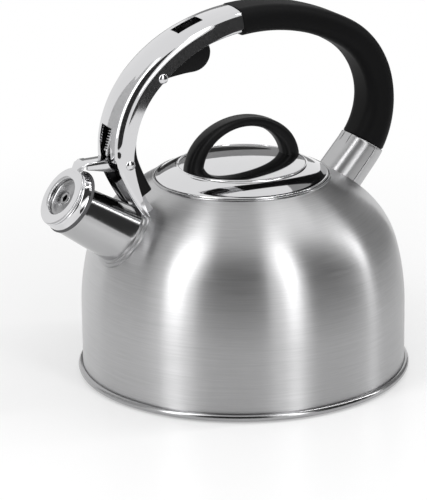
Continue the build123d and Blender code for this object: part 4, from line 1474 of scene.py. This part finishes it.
# ---------------------------------------------------------------- trigger works
@dataclass
class TriggerWorks:
    """Trigger, pins and spring. Sizes in millimetres."""

    palette: Palette
    half_width: float = 6.0
    hub_radius: float = 4.4
    blade_edge: tuple[Pair, ...] = (
        (1.0, -4.4), (8.5, -2.8), (20.1, -1.5), (29.0, -1.0), (34.6, 1.4), (38.0, 5.6), (39.1, 10.6), (38.2, 15.0),
        (36.6, 18.2),
    )
    blade_back: tuple[Pair, ...] = ((34.6, 18.4), (18.0, 15.6), (6.0, 9.0), (0.0, 4.4))
    nose: tuple[Pair, ...] = ((-9.0, -4.5), (-9.3, -5.6), (-8.6, -6.8), (-7.4, -6.9), (-5.8, -5.6))
    curve_steps: int = 6
    blade_round: float = 1.1
    pin_steps: int = 48
    pin_radius: float = 2.25
    pin_reach: float = 15.0
    head_radius: float = 3.3
    head_height: float = 1.4
    spring_radius: float = 2.9
    spring_wire: float = 0.8
    spring_turns: int = 7
    spring_length: float = 13.6
    spring_gap: float = 0.1
    turn_steps: int = 32
    wire_sides: int = 10

    def curve(self, points: Sequence[Pair]) -> list[Pair]:
        """Smooth line through points.

        Args:
            points: the points.

        Returns:
            Points of the line.
        """
        line = []
        padded = [points[0], *points, points[-1]]
        for a, b, c, d in zip(padded, padded[1:], padded[2:], padded[3:]):
            for t in (k / self.curve_steps for k in range(self.curve_steps)):
                line.append(tuple(
                    0.5 * (2 * b[n] + (c[n] - a[n]) * t + (2 * a[n] - 5 * b[n] + 4 * c[n] - d[n]) * t * t
                           + (3 * b[n] - a[n] - 3 * c[n] + d[n]) * t ** 3) for n in (0, 1)
                ))
        return line + [points[-1]]

    def build_trigger(self) -> None:
        """Moulded blade with its nose, softly rounded."""
        hub = rounding(0, 0, self.hub_radius, self.hub_radius, range(105, 196, 15))
        pin = node_middle("trigger_pin")
        corners = [*self.curve(self.blade_edge), *self.curve(self.blade_back), *hub, *self.nose]
        outline = [pin + p for p in flat(corners)]
        outline = [q for i, q in enumerate(outline) if (q - outline[i - 1]).length > 0.05]
        bm = bmesh.new()
        prism(bm, outline, 0.0, self.half_width, self.blade_round, 4)
        self.palette.dress(bm, "trigger_moulded", "trigger", "moulded_black", "trigger")

    def build_pin(self, node: str, name: str) -> None:
        """Pin with a domed head on each side.

        Args:
            node: the CAD node that it stands for.
            name: the piece's name.
        """
        reach, head = self.pin_reach, self.head_radius
        dome = rounding(0, reach, head, self.head_height, range(10, 90, 10))
        half = [(self.pin_radius, reach - 0.1), (head - 0.3, reach - 0.1), (head, reach + 0.05), *dome,
                (0.0, reach + self.head_height)]
        profile = flat([(r, -z) for r, z in reversed(half)] + half)
        place = axis_place(node_middle(node), Vector((0, 1, 0)))
        self.palette.turned(name, "kettle", "polished_steel", node, profile, self.pin_steps, 50, place, closed=False)

    def wire_rings(self, place: Matrix, rise: float) -> list[Ring]:
        """Sections of the spring's wire, turn by turn.

        Args:
            place: transform from the spring's axis to the part's own frame.
            rise: height of the wire's centreline.

        Returns:
            The sections.
        """
        wire = self.spring_wire / 2
        mean = self.spring_radius - wire
        turns = [math.tau * k / self.wire_sides for k in range(self.wire_sides)]
        rings = []
        for i in range(self.spring_turns * self.turn_steps + 1):
            angle = math.tau * i / self.turn_steps
            out = Vector((math.cos(angle), math.sin(angle), 0))
            ahead = Vector((-out.y * mean, out.x * mean, rise / self.spring_turns / math.tau)).normalized()
            across = ahead.cross(out)
            centre = out * mean + Vector((0, 0, rise * (angle / math.tau / self.spring_turns - 0.5)))
            rings.append([place @ (centre + (out * math.cos(t) + across * math.sin(t)) * wire) for t in turns])
        return rings

    def build_spring(self) -> None:
        """Return spring, coiled along the plunger's slide."""
        slide = next(j for j in frame["joints"] if j["name"] == "plunger_slide")
        up = Vector(slide["axis"]).normalized()
        middle = node_middle("plunger_spring")
        rise = self.spring_length - self.spring_wire - 2 * self.spring_gap
        bm = bmesh.new()
        loft(bm, self.wire_rings(axis_place(middle, up), rise))
        spring = self.palette.dress(bm, "return_spring_coil", "plunger", "hidden_steel", "plunger_spring")
        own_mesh(spring)

    def build(self) -> None:
        """Builds the trigger, both pins and the return spring."""
        self.build_trigger()
        self.build_spring()
        self.build_pin("trigger_pin", "trigger_pin_domed")
        self.build_pin("cap_arm_pin", "cap_pin_domed")


# ---------------------------------------------------------------- studio
def around(turn: float, distance: float, height: float) -> Vector:
    """Point in metres at an angle in degrees round the kettle."""
    angle = math.radians(turn)
    return Vector((math.cos(angle) * distance, math.sin(angle) * distance, height))


@dataclass(frozen=True)
class Lamp:
    """Soft rectangular lamp aimed at the kettle.

    Attributes:
        name: its name.
        turn: degrees to the right of the camera, seen from the kettle.
        distance: metres from the kettle's axis.
        height: metres above the floor.
        size: width and height in metres.
        power: watts.
    """

    name: str
    turn: float
    distance: float
    height: float
    size: Pair
    power: float

    def build(self, turn_offset: float) -> None:
        """Adds the lamp.

        Args:
            turn_offset: the camera's own angle in degrees.
        """
        data = bpy.data.lights.new(self.name, "AREA")
        data.shape = "RECTANGLE"
        data.size, data.size_y = self.size
        data.energy = self.power
        lamp = link_object(self.name, data)
        lamp.location = around(self.turn + turn_offset, self.distance, self.height)
        aim = Vector((0, 0, AIM_HEIGHT)) - lamp.location
        lamp.rotation_euler = aim.to_track_quat("-Z", "Y").to_euler()


@dataclass(frozen=True)
class Card:
    """Upright dark or white panel that the steel reflects.

    Attributes:
        name: its name.
        turn: degrees to the right of the camera, seen from the kettle.
        distance: metres from the kettle's axis.
        width: metres across.
        low: height of its lower edge in metres.
        high: height of its upper edge in metres.
        shade: its grey.
        round: whether it is an oval.
    """

    name: str
    turn: float
    distance: float
    width: float
    low: float
    high: float
    shade: float
    round: bool = False

    def build(self, turn_offset: float) -> bpy.types.Object:
        """Adds the panel facing the kettle, hidden from the camera.

        Args:
            turn_offset: the camera's own angle in degrees.

        Returns:
            The panel.
        """
        bm = bmesh.new()
        if self.round:
            bmesh.ops.create_circle(bm, cap_ends=True, segments=64, radius=0.5)
        else:
            bmesh.ops.create_grid(bm, x_segments=1, y_segments=1, size=0.5)
        turn = self.turn + turn_offset
        scale = Matrix.Diagonal((self.width, self.high - self.low, 1, 1))
        face = Matrix.Rotation(math.radians(turn + 90), 4, "Z") @ Matrix.Rotation(math.radians(90), 4, "X")
        place = Matrix.Translation(around(turn, self.distance, (self.low + self.high) / 2))
        bmesh.ops.transform(bm, matrix=place @ face @ scale, verts=bm.verts)
        grey = {"Base Color": (self.shade, self.shade, self.shade, 1), "Roughness": 1.0, "Specular IOR Level": 0.0}
        card = mesh_object(self.name, bm, new_material(self.name, grey)[0])
        card.visible_camera = card.visible_diffuse = card.visible_shadow = False
        return card


def seen_rays(tree: Tree) -> Socket:
    """Mask of the rays that show the studio's white.

    Args:
        tree: the tree that gets the nodes.

    Returns:
        Socket that is 1 for camera, glossy and transmission rays and 0 for the rays that light the kettle.
    """
    path = add_node(tree, "ShaderNodeLightPath").outputs
    direct = join_math(tree, "MAXIMUM", path["Is Camera Ray"], path["Is Glossy Ray"])
    return join_math(tree, "MAXIMUM", direct, path["Is Transmission Ray"])


@dataclass
class Studio:
    """White sweep, lamps, cards and the camera. Sizes in metres."""

    azimuth: float = 29.5
    elevation: float = 18.725
    distance: float = 2.0076
    look_height: float = 0.07
    roll: float = 0.592
    sensor: float = 36.0
    focal_share: float = 6.0796
    shift: Pair = (-0.0584, 0.0269)
    world: float = 0.85
    world_strength: float = 0.9
    floor_radius: float = 6.0
    floor_drop: float = 0.0004
    floor_fade: Pair = (0.16, 0.55)
    floor_lift: float = 0.35
    lamps: tuple[Lamp, ...] = (
        Lamp("strip_left", -49.0, 1.5, 1.1, (0.46, 2.2), 12.0),
        Lamp("strip_right", 36.0, 1.6, 1.1, (0.34, 2.2), 8.5),
        Lamp("strip_rim", 102.0, 1.5, 1.45, (0.14, 2.3), 10.0),
    )
    cards: tuple[Card, ...] = (
        Card("card_left", -87.0, 0.62, 0.52, 0.0, 1.0, 0.58),
        Card("card_middle", -7.0, 0.80, 0.74, 0.0, 1.2, 0.04),
        Card("card_right", 68.0, 0.62, 0.53, 0.0, 1.0, 0.05),
        Card("card_rim", 124.0, 0.62, 0.57, 0.0, 1.0, 0.30),
        Card("card_back", 186.7, 1.3, 0.92, 0.02, 0.54, 0.25, True),
        Card("card_back_dark", 189.0, 1.28, 0.56, 0.10, 0.33, 0.03, True),
    )

    def build_camera(self) -> None:
        """Long-lens camera slightly above the lid."""
        turn = Matrix.Rotation(-math.radians(self.azimuth), 3, "Z")
        rise = math.radians(self.elevation)
        right = turn @ Vector((1, 0, 0))
        ahead = turn @ Vector((0, math.cos(rise), -math.sin(rise)))
        up = right.cross(ahead)
        roll = math.radians(self.roll)
        side = right * math.cos(roll) - up * math.sin(roll)
        top = up * math.cos(roll) + right * math.sin(roll)
        data = bpy.data.cameras.new("camera")
        data.sensor_width = self.sensor
        data.sensor_fit = "AUTO"
        data.lens = self.sensor * self.focal_share
        data.shift_x, data.shift_y = self.shift
        matrix = Matrix((side, top, -ahead)).transposed().to_4x4()
        matrix.translation = Vector((0, 0, self.look_height)) - ahead * self.distance
        camera = link_object("camera", data)
        camera.matrix_world = matrix
        bpy.context.scene.camera = camera

    def build_world(self) -> None:
        """White to the camera, plain grey to everything else."""
        world = bpy.data.worlds.new("studio")
        bpy.context.scene.world = world
        world.use_nodes = True
        tree = world.node_tree
        tree.nodes.clear()
        shades = ((self.world, self.world_strength), (1.0, 1.0))
        grey, white = (
            add_node(tree, "ShaderNodeBackground", {"Color": (shade, shade, shade, 1), "Strength": strength})
            for shade, strength in shades
        )
        mix = add_node(tree, "ShaderNodeMixShader", {0: seen_rays(tree), 1: grey.outputs[0], 2: white.outputs[0]})
        add_node(tree, "ShaderNodeOutputWorld", {"Surface": mix.outputs[0]})

    def build_floor(self) -> None:
        """Large pale floor that runs out to white."""
        bm = bmesh.new()
        bmesh.ops.create_circle(bm, cap_ends=True, segments=96, radius=self.floor_radius)
        pale = {"Base Color": (0.9, 0.9, 0.9, 1), "Roughness": 0.32, "Specular IOR Level": 0.4}
        material, tree, shader = new_material("floor", pale)
        coords = add_node(tree, "ShaderNodeTexCoord").outputs["Object"]
        reach = add_node(tree, "ShaderNodeVectorMath", {0: coords}, operation="LENGTH").outputs["Value"]
        start, end = self.floor_fade
        ends = {"Value": reach, "From Min": start, "From Max": end, "To Min": self.floor_lift}
        fade = add_node(tree, "ShaderNodeMapRange", ends, interpolation_type="SMOOTHSTEP").outputs["Result"]
        white = add_node(tree, "ShaderNodeEmission", {"Strength": 1.0}).outputs[0]
        share = join_math(tree, "MULTIPLY", seen_rays(tree), fade)
        mix = add_node(tree, "ShaderNodeMixShader", {0: share, 1: shader.outputs[0], 2: white})
        feed(tree, tree.nodes["Material Output"], {"Surface": mix.outputs[0]})
        floor = mesh_object("floor", bm, material)
        floor.location.z = -self.floor_drop

    def build(self) -> None:
        """Builds the whole set."""
        self.build_camera()
        self.build_world()
        self.build_floor()
        for lamp in self.lamps:
            lamp.build(-self.azimuth - 90)
        for card in self.cards:
            card.build(-self.azimuth - 90)
        bpy.context.scene.view_settings.view_transform = "Standard"


def main() -> None:
    """Builds the kettle and its studio."""
    logging.basicConfig(level=logging.INFO)
    palette = Palette()
    axis = SpoutAxis()
    line = HandleLine()
    Pot(palette).build()
    Lid(palette).build()
    Spout(palette, axis).build()
    WhistleCap(palette, axis).build()
    Grip(palette, line).build()
    FrontShell(palette, line).build()
    TriggerWorks(palette).build()
    palette.dress_nodes()
    Studio().build()
    bpy.context.view_layer.update()


if __name__ == "__main__":
    main()
